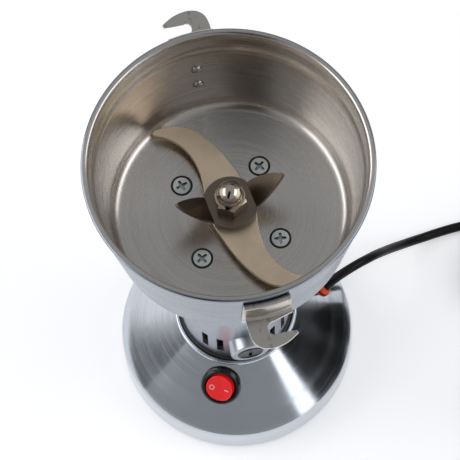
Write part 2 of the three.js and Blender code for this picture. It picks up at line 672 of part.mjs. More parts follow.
function makeFootScrew() {
  const seat = 2.2 - SEAT_GAP;
  return revolve([
    [0, 0.6],
    [FOOT_SCREW_HEAD - 0.8, 0.6],
    [FOOT_SCREW_HEAD, 1.4],
    [FOOT_SCREW_HEAD, seat],
    [FOOT_SCREW_SHANK, seat],
    [FOOT_SCREW_SHANK, seat + FOOT_SCREW_LENGTH],
    [0, seat + FOOT_SCREW_LENGTH],
  ]);
}

addPart('bottom_plate', makeBottomPlate(), 'blackPlastic');
for (let i = 0; i < FOOT_COUNT; i += 1) {
  const [x, y] = footPlace(i);
  addPart(`foot_${i + 1}`, makeFoot(), 'blackRubber').position.set(x, y, 0);
  addPart(`foot_screw_${i + 1}`, makeFootScrew(), 'zinc').position.set(x, y, 0);
}

// ---------------------------------------------------------------- switch
function makeSwitchBody() {
  const body = revolve([
    [0, -SWITCH_BODY_DEPTH],
    [SWITCH_BODY_RADIUS, -SWITCH_BODY_DEPTH],
    [SWITCH_BODY_RADIUS, 0.8],
    [BEZEL_RADIUS, 0.8],
    [BEZEL_RADIUS, 0.8 + BEZEL_THICKNESS * 0.5],
    [BEZEL_RADIUS - 1, 0.8 + BEZEL_THICKNESS],
    [0, 0.8 + BEZEL_THICKNESS],
  ], SEGMENTS_MEDIUM);
  const well = disc(ROCKER_RADIUS + ROCKER_GAP, -8, 6, SEGMENTS_MEDIUM);
  const terminals = [-4, 4].map((x) => block(0.8, 4.8, 8, x, 0, -SWITCH_BODY_DEPTH - 3.9));
  return join(cut(body, well), ...terminals);
}

// The rocker about its pivot: two flats that meet over the pivot in a shallow valley.
function makeRocker() {
  const rise = ROCKER_RISE + ROCKER_PIVOT_DEPTH;
  const valley = rise - ROCKER_RADIUS * Math.tan(ROCKER_TILT);
  const side = new THREE.Shape();
  side.moveTo(-ROCKER_RADIUS, -1.6);
  side.lineTo(ROCKER_RADIUS, -1.6);
  side.lineTo(ROCKER_RADIUS, rise);
  side.lineTo(0, valley);
  side.lineTo(-ROCKER_RADIUS, rise);
  side.lineTo(-ROCKER_RADIUS, -1.6);
  const depth = 2 * ROCKER_RADIUS + 2;
  const wedge = slab(side, -depth / 2, depth).rotateX(Math.PI / 2);
  const top = common(wedge, disc(ROCKER_RADIUS, -4, rise + 2, SEGMENTS_MEDIUM));
  const stem = disc(ROCKER_RADIUS * 0.55, -5.5, -1.2);
  return join(top, stem);
}

addPart('switch_body', makeSwitchBody(), 'blackPlastic', switchGroup);
const rocker = addPart('switch_rocker', makeRocker(), 'redPlastic', switchGroup);
rocker.position.z = 0.8 + BEZEL_THICKNESS - ROCKER_PIVOT_DEPTH;
rocker.rotation.y = -ROCKER_TILT;

// ---------------------------------------------------------------- shaft, seal and bearings
addPart('shaft', revolve([
  [0, SHAFT_BOTTOM],
  [SHAFT_RADIUS, SHAFT_BOTTOM],
  [SHAFT_RADIUS, UPPER_BEARING_Z + BEARING_WIDTH + RUNNING_GAP],
  [SHAFT_SHOULDER_RADIUS, UPPER_BEARING_Z + BEARING_WIDTH + RUNNING_GAP],
  [SHAFT_SHOULDER_RADIUS, FLOOR_Z + NOSE_RISE + RUNNING_GAP],
  [SPACER_RADIUS - 0.5, FLOOR_Z + NOSE_RISE + RUNNING_GAP],
  [SPACER_RADIUS - 0.5, BLADE_Z - SEAT_GAP],
  [SHAFT_RADIUS, BLADE_Z - SEAT_GAP],
  [SHAFT_RADIUS, NUT_Z + NUT_HEIGHT - 4.5],
  [0, NUT_Z + NUT_HEIGHT - 4.5],
]), 'satinSteel');

function makeBearing(bottom) {
  return ring(SHAFT_RADIUS + RUNNING_GAP, BEARING_RADIUS, bottom, bottom + BEARING_WIDTH, SEGMENTS_MEDIUM);
}

addPart('upper_bearing', makeBearing(UPPER_BEARING_Z), 'polishedSteel');
addPart('lower_bearing', makeBearing(LOWER_BEARING_Z), 'polishedSteel');
addPart('shaft_seal', ring(SHAFT_SHOULDER_RADIUS + RUNNING_GAP, NOSE_RADIUS - 1.6 - SEAT_GAP,
  FLOOR_Z - 3, FLOOR_Z + 1), 'blackRubber');

function makeBearingBracket() {
  const outer = HOUSING_BORE - SEAT_GAP;
  const pocket = BEARING_RADIUS + SEAT_GAP;
  const hub = revolveRing([
    [SHAFT_RADIUS + 2, LOWER_BEARING_Z - 2],
    [pocket + 2.2, LOWER_BEARING_Z - 2],
    [pocket + 2.2, LOWER_BEARING_Z + BEARING_WIDTH - 0.5],
    [pocket, LOWER_BEARING_Z + BEARING_WIDTH - 0.5],
    [pocket, LOWER_BEARING_Z - SEAT_GAP],
    [SHAFT_RADIUS + 2, LOWER_BEARING_Z - SEAT_GAP],
  ], SEGMENTS_MEDIUM);
  const rimRing = ring(outer - 2, outer, LOWER_BEARING_Z - 2, LOWER_BEARING_Z + 3, SEGMENTS_MEDIUM);
  const arms = [0, 1].map((i) => cut(
    block(2 * outer - 2, 8, 3, 0, 0, LOWER_BEARING_Z - 0.5).rotateZ(BOSS_ANGLE + i * Math.PI / 2),
    disc(pocket + 1, 0, BOSS_HEIGHT, SEGMENTS_MEDIUM),
  ));
  return join(hub, rimRing, ...arms);
}

addPart('bearing_bracket', makeBearingBracket(), 'castAluminium');

// ---------------------------------------------------------------- blades, spacer and nut
// One arm of the lower blade, drawn from the hub's right side out to its tip and back.
const LOWER_BLADE_INNER_EDGE = [[11.4, -9.6], [12.8, -16.7], [15.4, -22.9], [19.6, -28.6], [25.6, -32.8]];
const LOWER_BLADE_TIP = [[31.6, -34.6], [32.4, -35.7], [31, -37.2]];
const LOWER_BLADE_OUTER_EDGE = [
  [25, -38.2], [18.8, -37.8], [12.4, -35], [5.4, -28.6], [-0.4, -21], [-4.6, -14.2],
];

function makeLowerBlade() {
  const edges = [...LOWER_BLADE_INNER_EDGE, ...LOWER_BLADE_TIP, ...LOWER_BLADE_OUTER_EDGE];
  const arm = [[11.2, -4], ...edges, [-7.4, -9.4]];
  const whole = [...arm, ...arm.map(([x, y]) => [-x, -y])];
  const shape = new THREE.Shape(whole.map(([x, y]) => new THREE.Vector2(x, y)));
  const blade = slab(shape, BLADE_Z, LOWER_BLADE_THICKNESS);
  return cut(blade, disc(SHAFT_BORE, BLADE_Z - 1, BLADE_Z + 5));
}

// The upper blade: a flat hub with two pointed wings that bend upward.
function makeUpperBlade() {
  const hubRoot = UPPER_BLADE_HUB * 0.865;
  const lean = Math.atan2(WING_RISE, WING_REACH - hubRoot);
  const wingLength = Math.hypot(WING_RISE, WING_REACH - hubRoot);
  const wingShape = new THREE.Shape();
  wingShape.moveTo(-3, -5.9);
  wingShape.lineTo(0, -5.9);
  wingShape.lineTo(4.4, -6.6);
  wingShape.lineTo(wingLength * 0.6, -5.3);
  wingShape.lineTo(wingLength - 0.3, -2.2);
  wingShape.lineTo(wingLength, -1.2);
  wingShape.lineTo(wingLength - 1, 0);
  wingShape.lineTo(wingLength * 0.4, 4.8);
  wingShape.lineTo(0, 6.4);
  wingShape.lineTo(-3, 6.4);
  const wings = [0, Math.PI].map((turn) => slab(wingShape, 0, UPPER_BLADE_THICKNESS)
    .rotateY(-lean).translate(hubRoot, 0, 0).rotateZ(turn));
  const room = disc(WING_REACH * 2, 0, WING_RISE * 2, SEGMENTS_SMALL);
  const raised = wings.map((wing) => common(wing, room));
  const hub = disc(UPPER_BLADE_HUB, 0, UPPER_BLADE_THICKNESS, SEGMENTS_MEDIUM + 4);
  const blade = join(hub, ...raised).rotateZ(UPPER_BLADE_TURN);
  return cut(blade, disc(SHAFT_BORE, -2, 4)).translate(0, 0, UPPER_BLADE_Z);
}

function makeNut() {
  const top = NUT_Z + NUT_HEIGHT;
  const domeZ = top - NUT_DOME_RADIUS;
  const hex = new THREE.CylinderGeometry(NUT_ACROSS_FLATS / Math.sqrt(3), NUT_ACROSS_FLATS / Math.sqrt(3),
    NUT_HEX_HEIGHT, 6).rotateX(Math.PI / 2).rotateZ(TURN / 9).translate(0, 0, NUT_Z + NUT_HEX_HEIGHT / 2);
  const dome = revolve([
    [0, NUT_Z + 1],
    [NUT_DOME_RADIUS, NUT_Z + 1],
    ...bend(0, domeZ, NUT_DOME_RADIUS, 0, Math.PI / 2, 4).slice(0, -1),
    [0, top],
  ], SEGMENTS_MEDIUM);
  return cut(join(hex, dome), disc(SHAFT_BORE, NUT_Z - 1, top - 3.5));
}

addPart('lower_blade', makeLowerBlade(), 'bladeSteel');
addPart('blade_spacer', ring(SHAFT_BORE, SPACER_RADIUS, SPACER_Z, SPACER_Z + SPACER_THICKNESS,
  SEGMENTS_MEDIUM), 'satinSteel');
addPart('upper_blade', makeUpperBlade(), 'darkSteel');
addPart('blade_nut', makeNut(), 'nickel');

// ---------------------------------------------------------------- armature, commutator and fan
function makeArmatureCore() {
  const core = disc(ARMATURE_RADIUS, STATOR_BOTTOM, STATOR_TOP, SEGMENTS_MEDIUM + 4);
  const slots = around(ARMATURE_SLOTS, (turn) => block(ARMATURE_SLOT_DEPTH * 2, ARMATURE_SLOT_WIDTH,
    STATOR_HEIGHT + 2, ARMATURE_RADIUS, 0, (STATOR_BOTTOM + STATOR_TOP) / 2).rotateZ(turn));
  return cut(core, ...slots, disc(SHAFT_BORE, STATOR_BOTTOM - 1, STATOR_TOP + 1));
}

function makeArmatureWinding() {
  const inner = SHAFT_RADIUS + 2;
  const outer = ARMATURE_RADIUS - 1.5;
  const bars = around(ARMATURE_SLOTS, (turn) => block(
    ARMATURE_SLOT_DEPTH - 2, ARMATURE_SLOT_WIDTH - 2 * RUNNING_GAP, STATOR_HEIGHT + 2,
    outer - ARMATURE_SLOT_DEPTH / 2 + 1.2, 0, (STATOR_BOTTOM + STATOR_TOP) / 2,
  ).rotateZ(turn));
  const upper = ring(inner, outer, STATOR_TOP + RUNNING_GAP, STATOR_TOP + WINDING_END, SEGMENTS_MEDIUM);
  const lower = ring(inner, outer, STATOR_BOTTOM - WINDING_END, STATOR_BOTTOM - RUNNING_GAP, SEGMENTS_MEDIUM);
  return join(upper, lower, ...bars);
}

function makeFan() {
  const back = disc(FAN_RADIUS, FAN_TOP - 1.4, FAN_TOP, SEGMENTS_MEDIUM + 4);
  const hub = disc(SHAFT_RADIUS + 4, FAN_TOP - FAN_HEIGHT, FAN_TOP);
  const vanes = around(FAN_BLADES, (turn) => block(FAN_RADIUS - 8, 1.4, FAN_HEIGHT, FAN_RADIUS / 2 + 3.4, 0,
    FAN_TOP - FAN_HEIGHT / 2).rotateZ(turn));
  return cut(join(back, hub, ...vanes), disc(SHAFT_BORE, FAN_TOP - 20, FAN_TOP + 2));
}

addPart('armature_core', makeArmatureCore(), 'iron');
addPart('armature_winding', makeArmatureWinding(), 'copper');
addPart('commutator', ring(SHAFT_BORE, COMMUTATOR_RADIUS, BOSS_HEIGHT - COMMUTATOR_HEIGHT / 2,
  BOSS_HEIGHT + COMMUTATOR_HEIGHT / 2, SEGMENTS_MEDIUM), 'copper');
addPart('cooling_fan', makeFan(), 'blackPlastic');

// ---------------------------------------------------------------- stator and field coils
const POLE_INNER = ARMATURE_RADIUS + AIR_GAP;
const POLE_BACK = POLE_INNER + POLE_SHOE;
const YOKE_INNER = STATOR_RADIUS - STATOR_YOKE;
const POLE_TURN = BOSS_ANGLE + Math.PI / 2;

function makeStator() {
  const yoke = ring(YOKE_INNER, STATOR_RADIUS, STATOR_BOTTOM, STATOR_TOP, SEGMENTS_LARGE);
  const poles = [0, Math.PI].map((turn) => {
    const shoe = sector(POLE_INNER, POLE_BACK, 0, POLE_HALF_ANGLE, STATOR_BOTTOM, STATOR_HEIGHT);
    const neckFrom = POLE_BACK - POLE_SHOE / 2;
    const neckTo = STATOR_RADIUS - STATOR_YOKE / 2;
    const neck = block(neckTo - neckFrom, POLE_NECK_WIDTH, STATOR_HEIGHT, (neckFrom + neckTo) / 2, 0,
      (STATOR_BOTTOM + STATOR_TOP) / 2);
    return join(shoe, neck).rotateZ(POLE_TURN + turn);
  });
  return join(yoke, ...poles);
}

function makeFieldCoil() {
  const inner = POLE_BACK + RUNNING_GAP;
  const outer = YOKE_INNER - RUNNING_GAP;
  const body = sector(inner, outer, 0, POLE_HALF_ANGLE - 0.05, STATOR_BOTTOM - COIL_END,
    STATOR_HEIGHT + 2 * COIL_END);
  const window = block(20, POLE_NECK_WIDTH + 2 * RUNNING_GAP, STATOR_HEIGHT + 2 * RUNNING_GAP, POLE_BACK, 0,
    (STATOR_BOTTOM + STATOR_TOP) / 2);
  return cut(body, window);
}

addPart('stator_core', makeStator(), 'iron');
for (const i of [0, 1]) {
  addPart(`field_coil_${i + 1}`, makeFieldCoil(), 'copper').rotation.z = POLE_TURN + i * Math.PI;
}

// ---------------------------------------------------------------- brushes, springs and caps
class SpringCurve extends THREE.Curve {
  constructor(radius, length, turns) {
    super();
    this.radius = radius;
    this.length = length;
    this.turns = turns;
  }

  getPoint(t, target = new THREE.Vector3()) {
    const angle = t * this.turns * TURN;
    return target.set(this.length * t, this.radius * Math.cos(angle), this.radius * Math.sin(angle));
  }
}

const SPRING_WIRE = 0.4;
const SPRING_TURNS = 3;

function makeBrush() {
  const from = COMMUTATOR_RADIUS + RUNNING_GAP;
  return block(BRUSH_LENGTH, BRUSH_SIZE, BRUSH_SIZE, from + BRUSH_LENGTH / 2, 0, BOSS_HEIGHT);
}

function makeBrushSpring() {
  const from = COMMUTATOR_RADIUS + RUNNING_GAP + BRUSH_LENGTH + RUNNING_GAP + SPRING_WIRE;
  const to = BOSS_REACH - CAP_THICKNESS - RUNNING_GAP - SPRING_WIRE;
  const wire = new THREE.Shape();
  wire.absarc(0, 0, SPRING_WIRE, 0, TURN, false);
  const path = new SpringCurve(BRUSH_SIZE / 2 - SPRING_WIRE - RUNNING_GAP, to - from, SPRING_TURNS);
  const settings = { steps: SPRING_TURNS * 8, curveSegments: 2, bevelEnabled: false, extrudePath: path };
  return new THREE.ExtrudeGeometry(wire, settings).translate(from, 0, BOSS_HEIGHT);
}

function makeBrushCap() {
  const cap = disc(CAP_RADIUS, BOSS_REACH - CAP_THICKNESS, BOSS_REACH + 0.4, SEGMENTS_MEDIUM);
  const slot = block(7.4, 1.6, 2.4, 0, 0, BOSS_REACH + 0.4);
  return cut(cap, slot).rotateY(Math.PI / 2).translate(0, 0, BOSS_HEIGHT);
}

for (const [i, side] of ['front', 'rear'].entries()) {
  const turn = bossSides()[i];
  addPart(`carbon_brush_${side}`, makeBrush(), 'carbon').rotation.z = turn;
  addPart(`brush_spring_${side}`, makeBrushSpring(), 'zinc').rotation.z = turn;
  addPart(`brush_cap_${side}`, makeBrushCap(), 'blackPlastic').rotation.z = turn;
}

// ---------------------------------------------------------------- mains lead
function makeGrommet() {
  const bore = CORD_RADIUS + SEAT_GAP;
  return revolveRing([
    [bore, -GROMMET_INSIDE],
    [bore + 0.5, -GROMMET_INSIDE],
    [GROMMET_RADIUS, -3],
    [GROMMET_RADIUS, SHELL_GAP],
    [GROMMET_COLLAR, SHELL_GAP],
    [GROMMET_COLLAR, SHELL_GAP + 0.9],
    [GROMMET_RADIUS, SHELL_GAP + 1.4],
    [bore + 0.4, GROMMET_OUTSIDE],
    [bore, GROMMET_OUTSIDE],
  ], SEGMENTS_SMALL + 2);
}

// The lead's route from the grommet's mouth, down to the table and along it to the coil.
const CORD_ROUTE = [
  [43.9, 13.6, 30.3],
  [47.8, 15.7, 33.3],
  [52.1, 18.0, 34.9],
  [56.5, 20.5, 35.1],
  [60.6, 23.1, 34.1],
  [64.3, 25.6, 32.0],
  [67.5, 28.2, 29.0],
  [70.5, 30.7, 25.4],
  [73.3, 33.1, 21.5],
  [76.2, 35.5, 17.6],
  [79.3, 37.8, 13.9],
  [82.6, 40.0, 10.5],
  [86.2, 42.1, 7.7],
  [90.1, 44.1, 5.3],
  [94.5, 45.9, 3.7],
  [99.1, 47.6, 2.8],
  [104.1, 49.1, 2.4],
  [109.2, 50.4, 2.3],
  [114.4, 51.4, 2.4],
  [119.7, 52.3, 2.7],
  [124.9, 52.9, 3.0],
  [130.0, 53.3, 3.3],
];

function makeCord() {
  const points = CORD_ROUTE.map(([x, y, z]) => new THREE.Vector3(x, y, z));
  const section = new THREE.Shape();
  section.absarc(0, 0, CORD_RADIUS, 0, TURN, false);
  const settings = {
    steps: CORD_STEPS,
    curveSegments: CORD_SIDES / 2,
    bevelEnabled: false,
    extrudePath: new THREE.CatmullRomCurve3(points),
  };
  return new THREE.ExtrudeGeometry(section, settings);
}

const COIL_HALF_WIDTH = COIL_WIDE * CORD_RADIUS;
const COIL_BOTTOM = TIE_THICKNESS + SHELL_GAP;
const COIL_TOP = COIL_BOTTOM + COIL_LAYERS * 2 * CORD_RADIUS;

function makeCoil() {
  const inner = COIL_MIDDLE_RADIUS - COIL_HALF_WIDTH;
  const outer = COIL_MIDDLE_RADIUS + COIL_HALF_WIDTH;
  const corner = CORD_RADIUS / 2;
  return revolveRing([
    [inner + corner, COIL_BOTTOM],
    [outer - corner, COIL_BOTTOM],
    [outer, COIL_BOTTOM + corner],
    [outer, COIL_TOP - corner],
    [outer - corner, COIL_TOP],
    [inner + corner, COIL_TOP],
    [inner, COIL_TOP - corner],
    [inner, COIL_BOTTOM + corner],
  ], SEGMENTS_LARGE - 8);
}

function makeTie() {
  const innerWidth = 2 * COIL_HALF_WIDTH + 4 * RUNNING_GAP;
  const outerWidth = innerWidth + 2 * TIE_THICKNESS;
  const height = COIL_TOP + SHELL_GAP + TIE_THICKNESS;
  const band = block(outerWidth, TIE_WIDTH, height, 0, 0, height / 2);
  const opening = block(innerWidth, TIE_WIDTH * 2, height - 2 * TIE_THICKNESS, 0, 0, height / 2);
  return cut(band, opening).translate(COIL_MIDDLE_RADIUS, 0, 0);
}

// The plug lies flat: its own +X runs from the lead's end to the pins.
function makePlugBody() {
  const half = PLUG_WIDTH / 2;
  const outline = new THREE.Shape();
  outline.moveTo(0, -5);
  outline.lineTo(9, -half + 4);
  outline.lineTo(15, -half);
  outline.lineTo(PLUG_LENGTH, -half);
  outline.lineTo(PLUG_LENGTH, half);
  outline.lineTo(15, half);
  outline.lineTo(9, half - 4);
  outline.lineTo(0, 5);
  const body = slab(outline, -PLUG_THICKNESS / 2, PLUG_THICKNESS);
  const relief = revolve([
    [0, -PLUG_RELIEF],
    [CORD_RADIUS + 0.7, -PLUG_RELIEF],
    [CORD_RADIUS + 2.2, 1],
    [0, 1],
  ]).rotateY(Math.PI / 2);
  const bores = [-1, 1].map((side) => disc(PLUG_PIN_RADIUS + SEAT_GAP, PLUG_LENGTH - 8, PLUG_LENGTH + 1)
    .rotateY(Math.PI / 2).translate(0, side * PLUG_PIN_SPACING / 2, 0));
  return cut(join(body, relief), ...bores);
}

function makePlugPin(side) {
  const end = PLUG_LENGTH + PLUG_PIN_LENGTH;
  return revolve([
    [0, PLUG_LENGTH - 8 + SEAT_GAP],
    [PLUG_PIN_RADIUS, PLUG_LENGTH - 8 + SEAT_GAP],
    [PLUG_PIN_RADIUS, end - 1.5],
    [PLUG_PIN_RADIUS - 0.9, end],
    [0, end],
  ]).rotateY(Math.PI / 2).translate(0, side * PLUG_PIN_SPACING / 2, 0);
}

addPart('cord_grommet', makeGrommet(), 'orangeRubber', grommetGroup);
addPart('power_cord', makeCord(), 'blackRubber');
addPart('cord_coil', makeCoil(), 'blackRubber').position.set(COIL_CENTRE.x, COIL_CENTRE.y, 0);
const tie = addPart('cord_tie', makeTie(), 'blackRubber');
tie.position.set(COIL_CENTRE.x, COIL_CENTRE.y, 0);
tie.rotation.z = TIE_ANGLE;

const plugGroup = new THREE.Group();
plugGroup.position.copy(PLUG_PLACE);
plugGroup.rotation.z = PLUG_TURN;
grinder.add(plugGroup);
addPart('plug_body', makePlugBody(), 'blackRubber', plugGroup);
addPart('plug_pin_left', makePlugPin(1), 'nickel', plugGroup);
addPart('plug_pin_right', makePlugPin(-1), 'nickel', plugGroup);

export default grinder;
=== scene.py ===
"""A small electric grain grinder with its bowl open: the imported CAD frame, dressed for rendering.

Lengths in this file are millimetres until MM turns them into Blender's metres.
"""
import math
import bmesh
import bpy
from mathutils import Matrix, Vector


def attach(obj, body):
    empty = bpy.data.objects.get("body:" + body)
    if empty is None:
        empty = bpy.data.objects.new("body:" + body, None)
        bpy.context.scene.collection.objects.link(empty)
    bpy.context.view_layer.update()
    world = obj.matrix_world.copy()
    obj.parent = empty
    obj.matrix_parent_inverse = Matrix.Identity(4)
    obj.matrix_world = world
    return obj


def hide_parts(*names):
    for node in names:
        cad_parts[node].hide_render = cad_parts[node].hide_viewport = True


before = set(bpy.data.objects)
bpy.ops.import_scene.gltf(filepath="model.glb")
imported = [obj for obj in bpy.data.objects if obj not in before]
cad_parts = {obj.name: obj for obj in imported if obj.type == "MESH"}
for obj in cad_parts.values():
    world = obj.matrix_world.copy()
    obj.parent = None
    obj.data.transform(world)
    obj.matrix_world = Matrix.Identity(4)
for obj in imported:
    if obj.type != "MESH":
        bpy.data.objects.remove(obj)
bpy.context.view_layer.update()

MM = 0.001
TURN = 2 * math.pi
UP = Vector((0, 0, 1))

# ------------------------------------------------------------------ camera
LENS = 226.28
SENSOR = 36
CAMERA_DISTANCE = 1.2724345
CAMERA_ELEVATION = math.radians(68.9533)
CAMERA_ROLL = math.radians(-3.0497)
CAMERA_TARGET = Vector((-0.0008126, 0, 0.146921))


def add_camera():
    back = Vector((0, -math.cos(CAMERA_ELEVATION), math.sin(CAMERA_ELEVATION)))
    right = Vector((1, 0, 0))
    above = back.cross(right)
    rolled_right = math.cos(CAMERA_ROLL) * right + math.sin(CAMERA_ROLL) * above
    rolled_above = math.cos(CAMERA_ROLL) * above - math.sin(CAMERA_ROLL) * right
    camera = bpy.data.objects.new("camera", bpy.data.cameras.new("camera"))
    camera.data.lens = LENS
    camera.data.sensor_width = SENSOR
    camera.data.clip_start = 0.05
    turn = Matrix((rolled_right, rolled_above, back)).transposed()
    camera.matrix_world = Matrix.Translation(CAMERA_TARGET + CAMERA_DISTANCE * back) @ turn.to_4x4()
    bpy.context.collection.objects.link(camera)
    bpy.context.scene.camera = camera


add_camera()
bpy.context.scene.view_settings.view_transform = "Standard"


# ------------------------------------------------------------------ mesh helpers
def eased(points, radius, ring=True, steps=3):
    """The same outline with its corners rounded. A third number on a point is that corner's own radius."""
    result = []
    count = len(points)
    for i, point in enumerate(points):
        here = Vector(point[:2])
        own = point[2] if len(point) > 2 else radius
        if own == 0 or (not ring and i in (0, count - 1)):
            result.append(tuple(here))
            continue
        before = Vector(points[i - 1][:2]) - here
        after = Vector(points[(i + 1) % count][:2]) - here
        reach = min(own, 0.45 * before.length, 0.45 * after.length)
        start = here + before.normalized() * reach
        end = here + after.normalized() * reach
        for k in range(steps + 1):
            t = k / steps
            result.append(tuple((1 - t) ** 2 * start + 2 * t * (1 - t) * here + t * t * end))
    return result


def flowing(points, steps=6):
    """A smooth line through all the points."""
    result = []
    last = len(points) - 1
    for i in range(last):
        a, b, c, d = (Vector(points[max(0, min(last, i + k))]) for k in (-1, 0, 1, 2))
        for k in range(steps):
            t = k / steps
            point = b + 0.5 * t * ((c - a) + t * ((2 * a - 5 * b + 4 * c - d) + t * (3 * (b - c) + d - a)))
            result.append(tuple(point))
    result.append(tuple(points[last]))
    return result


def arc(centre, radius, start, end, steps=8):
    angles = [start + (end - start) * k / steps for k in range(steps + 1)]
    return [(centre[0] + radius * math.cos(a), centre[1] + radius * math.sin(a)) for a in angles]


def turned(profile, sides=96):
    """A lathe-turned body. The (radius, z) profile is a closed ring, or starts and ends on the axis."""
    body = bmesh.new()
    rows = []
    for radius, z in profile:
        if radius < 1e-6:
            rows.append([body.verts.new((0, 0, z))])
            continue
        angles = [TURN * k / sides for k in range(sides)]
        rows.append([body.verts.new((radius * math.cos(a), radius * math.sin(a), z)) for a in angles])
    open_ended = len(rows[0]) == 1 and len(rows[-1]) == 1
    for i in range(len(rows) - 1 if open_ended else len(rows)):
        lower, upper = rows[i], rows[(i + 1) % len(rows)]
        for k in range(sides):
            n = (k + 1) % sides
            corners = [lower[k % len(lower)], lower[n % len(lower)]]
            corners += [upper[n % len(upper)], upper[k % len(upper)]]
            body.faces.new(list(dict.fromkeys(corners)))
    bmesh.ops.recalc_face_normals(body, faces=body.faces)
    return body


def slab(outline, bottom, top):
    """A flat outline given a thickness."""
    body = bmesh.new()
    face = body.faces.new([body.verts.new((x, y, bottom)) for x, y in outline])
    lifted = bmesh.ops.extrude_face_region(body, geom=[face])["geom"]
    corners = [part for part in lifted if isinstance(part, bmesh.types.BMVert)]
    bmesh.ops.translate(body, vec=(0, 0, top - bottom), verts=corners)
    bmesh.ops.recalc_face_normals(body, faces=body.faces)
    return body


def block(size, centre=(0, 0, 0)):
    half = Vector(size) / 2
    outline = [(-half.x, -half.y), (half.x, -half.y), (half.x, half.y), (-half.x, half.y)]
    body = slab(outline, -half.z, half.z)
    bmesh.ops.translate(body, vec=centre, verts=body.verts)
    return body


def placed(body, *matrices):
    for matrix in matrices:
        bmesh.ops.transform(body, matrix=matrix, verts=body.verts)
    return body


def spin(angle, axis="Z"):
    return Matrix.Rotation(angle, 4, axis)


def shift(x, y, z):
    return Matrix.Translation((x, y, z))


def as_object(name, body):
    mesh = bpy.data.meshes.new(name)
    body.to_mesh(mesh)
    body.free()
    thing = bpy.data.objects.new(name, mesh)
    bpy.context.collection.objects.link(thing)
    return thing


def settle(thing):
    """Apply an object's modifiers to its mesh."""
    depsgraph = bpy.context.evaluated_depsgraph_get()
    mesh = bpy.data.meshes.new_from_object(thing.evaluated_get(depsgraph))
    thing.modifiers.clear()
    thing.data = mesh


def carve(thing, action, tools):
    """DIFFERENCE, UNION or INTERSECT a millimetre object with other bodies."""
    for body in tools:
        tool = as_object("tool", body)
        change = thing.modifiers.new("carve", "BOOLEAN")
        change.operation = action
        change.solver = "EXACT"
        change.object = tool
        settle(thing)
        bpy.data.objects.remove(tool)


def piece(name, thing, body, nodes, look, smooth=32, bevel=0, bevel_steps=2):
    """Finish a millimetre object or bmesh as a piece of the grinder."""
    if isinstance(thing, bmesh.types.BMesh):
        thing = as_object(name, thing)
    thing.name = name
    mesh = thing.data
    mesh.transform(Matrix.Scale(MM, 4))
    mesh.polygons.foreach_set("use_smooth", [True] * len(mesh.polygons))
    mesh.set_sharp_from_angle(angle=math.radians(smooth))
    mesh.materials.clear()
    mesh.materials.append(look.material)
    if bevel:
        edge = thing.modifiers.new("edge", "BEVEL")
        edge.width = bevel * MM
        edge.segments = bevel_steps
        edge.limit_method = "ANGLE"
        edge.angle_limit = math.radians(smooth)
        edge.harden_normals = True
    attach(thing, body)
    if nodes:
        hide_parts(*nodes)
    return thing


# ------------------------------------------------------------------ material helpers
def rgb(red, green, blue):
    """A colour picked as the screen shows it, 0 to 255, made linear."""
    shares = [channel / 255 for channel in (red, green, blue)]
    return tuple(c / 12.92 if c < 0.0405 else ((c + 0.055) / 1.055) ** 2.4 for c in shares)


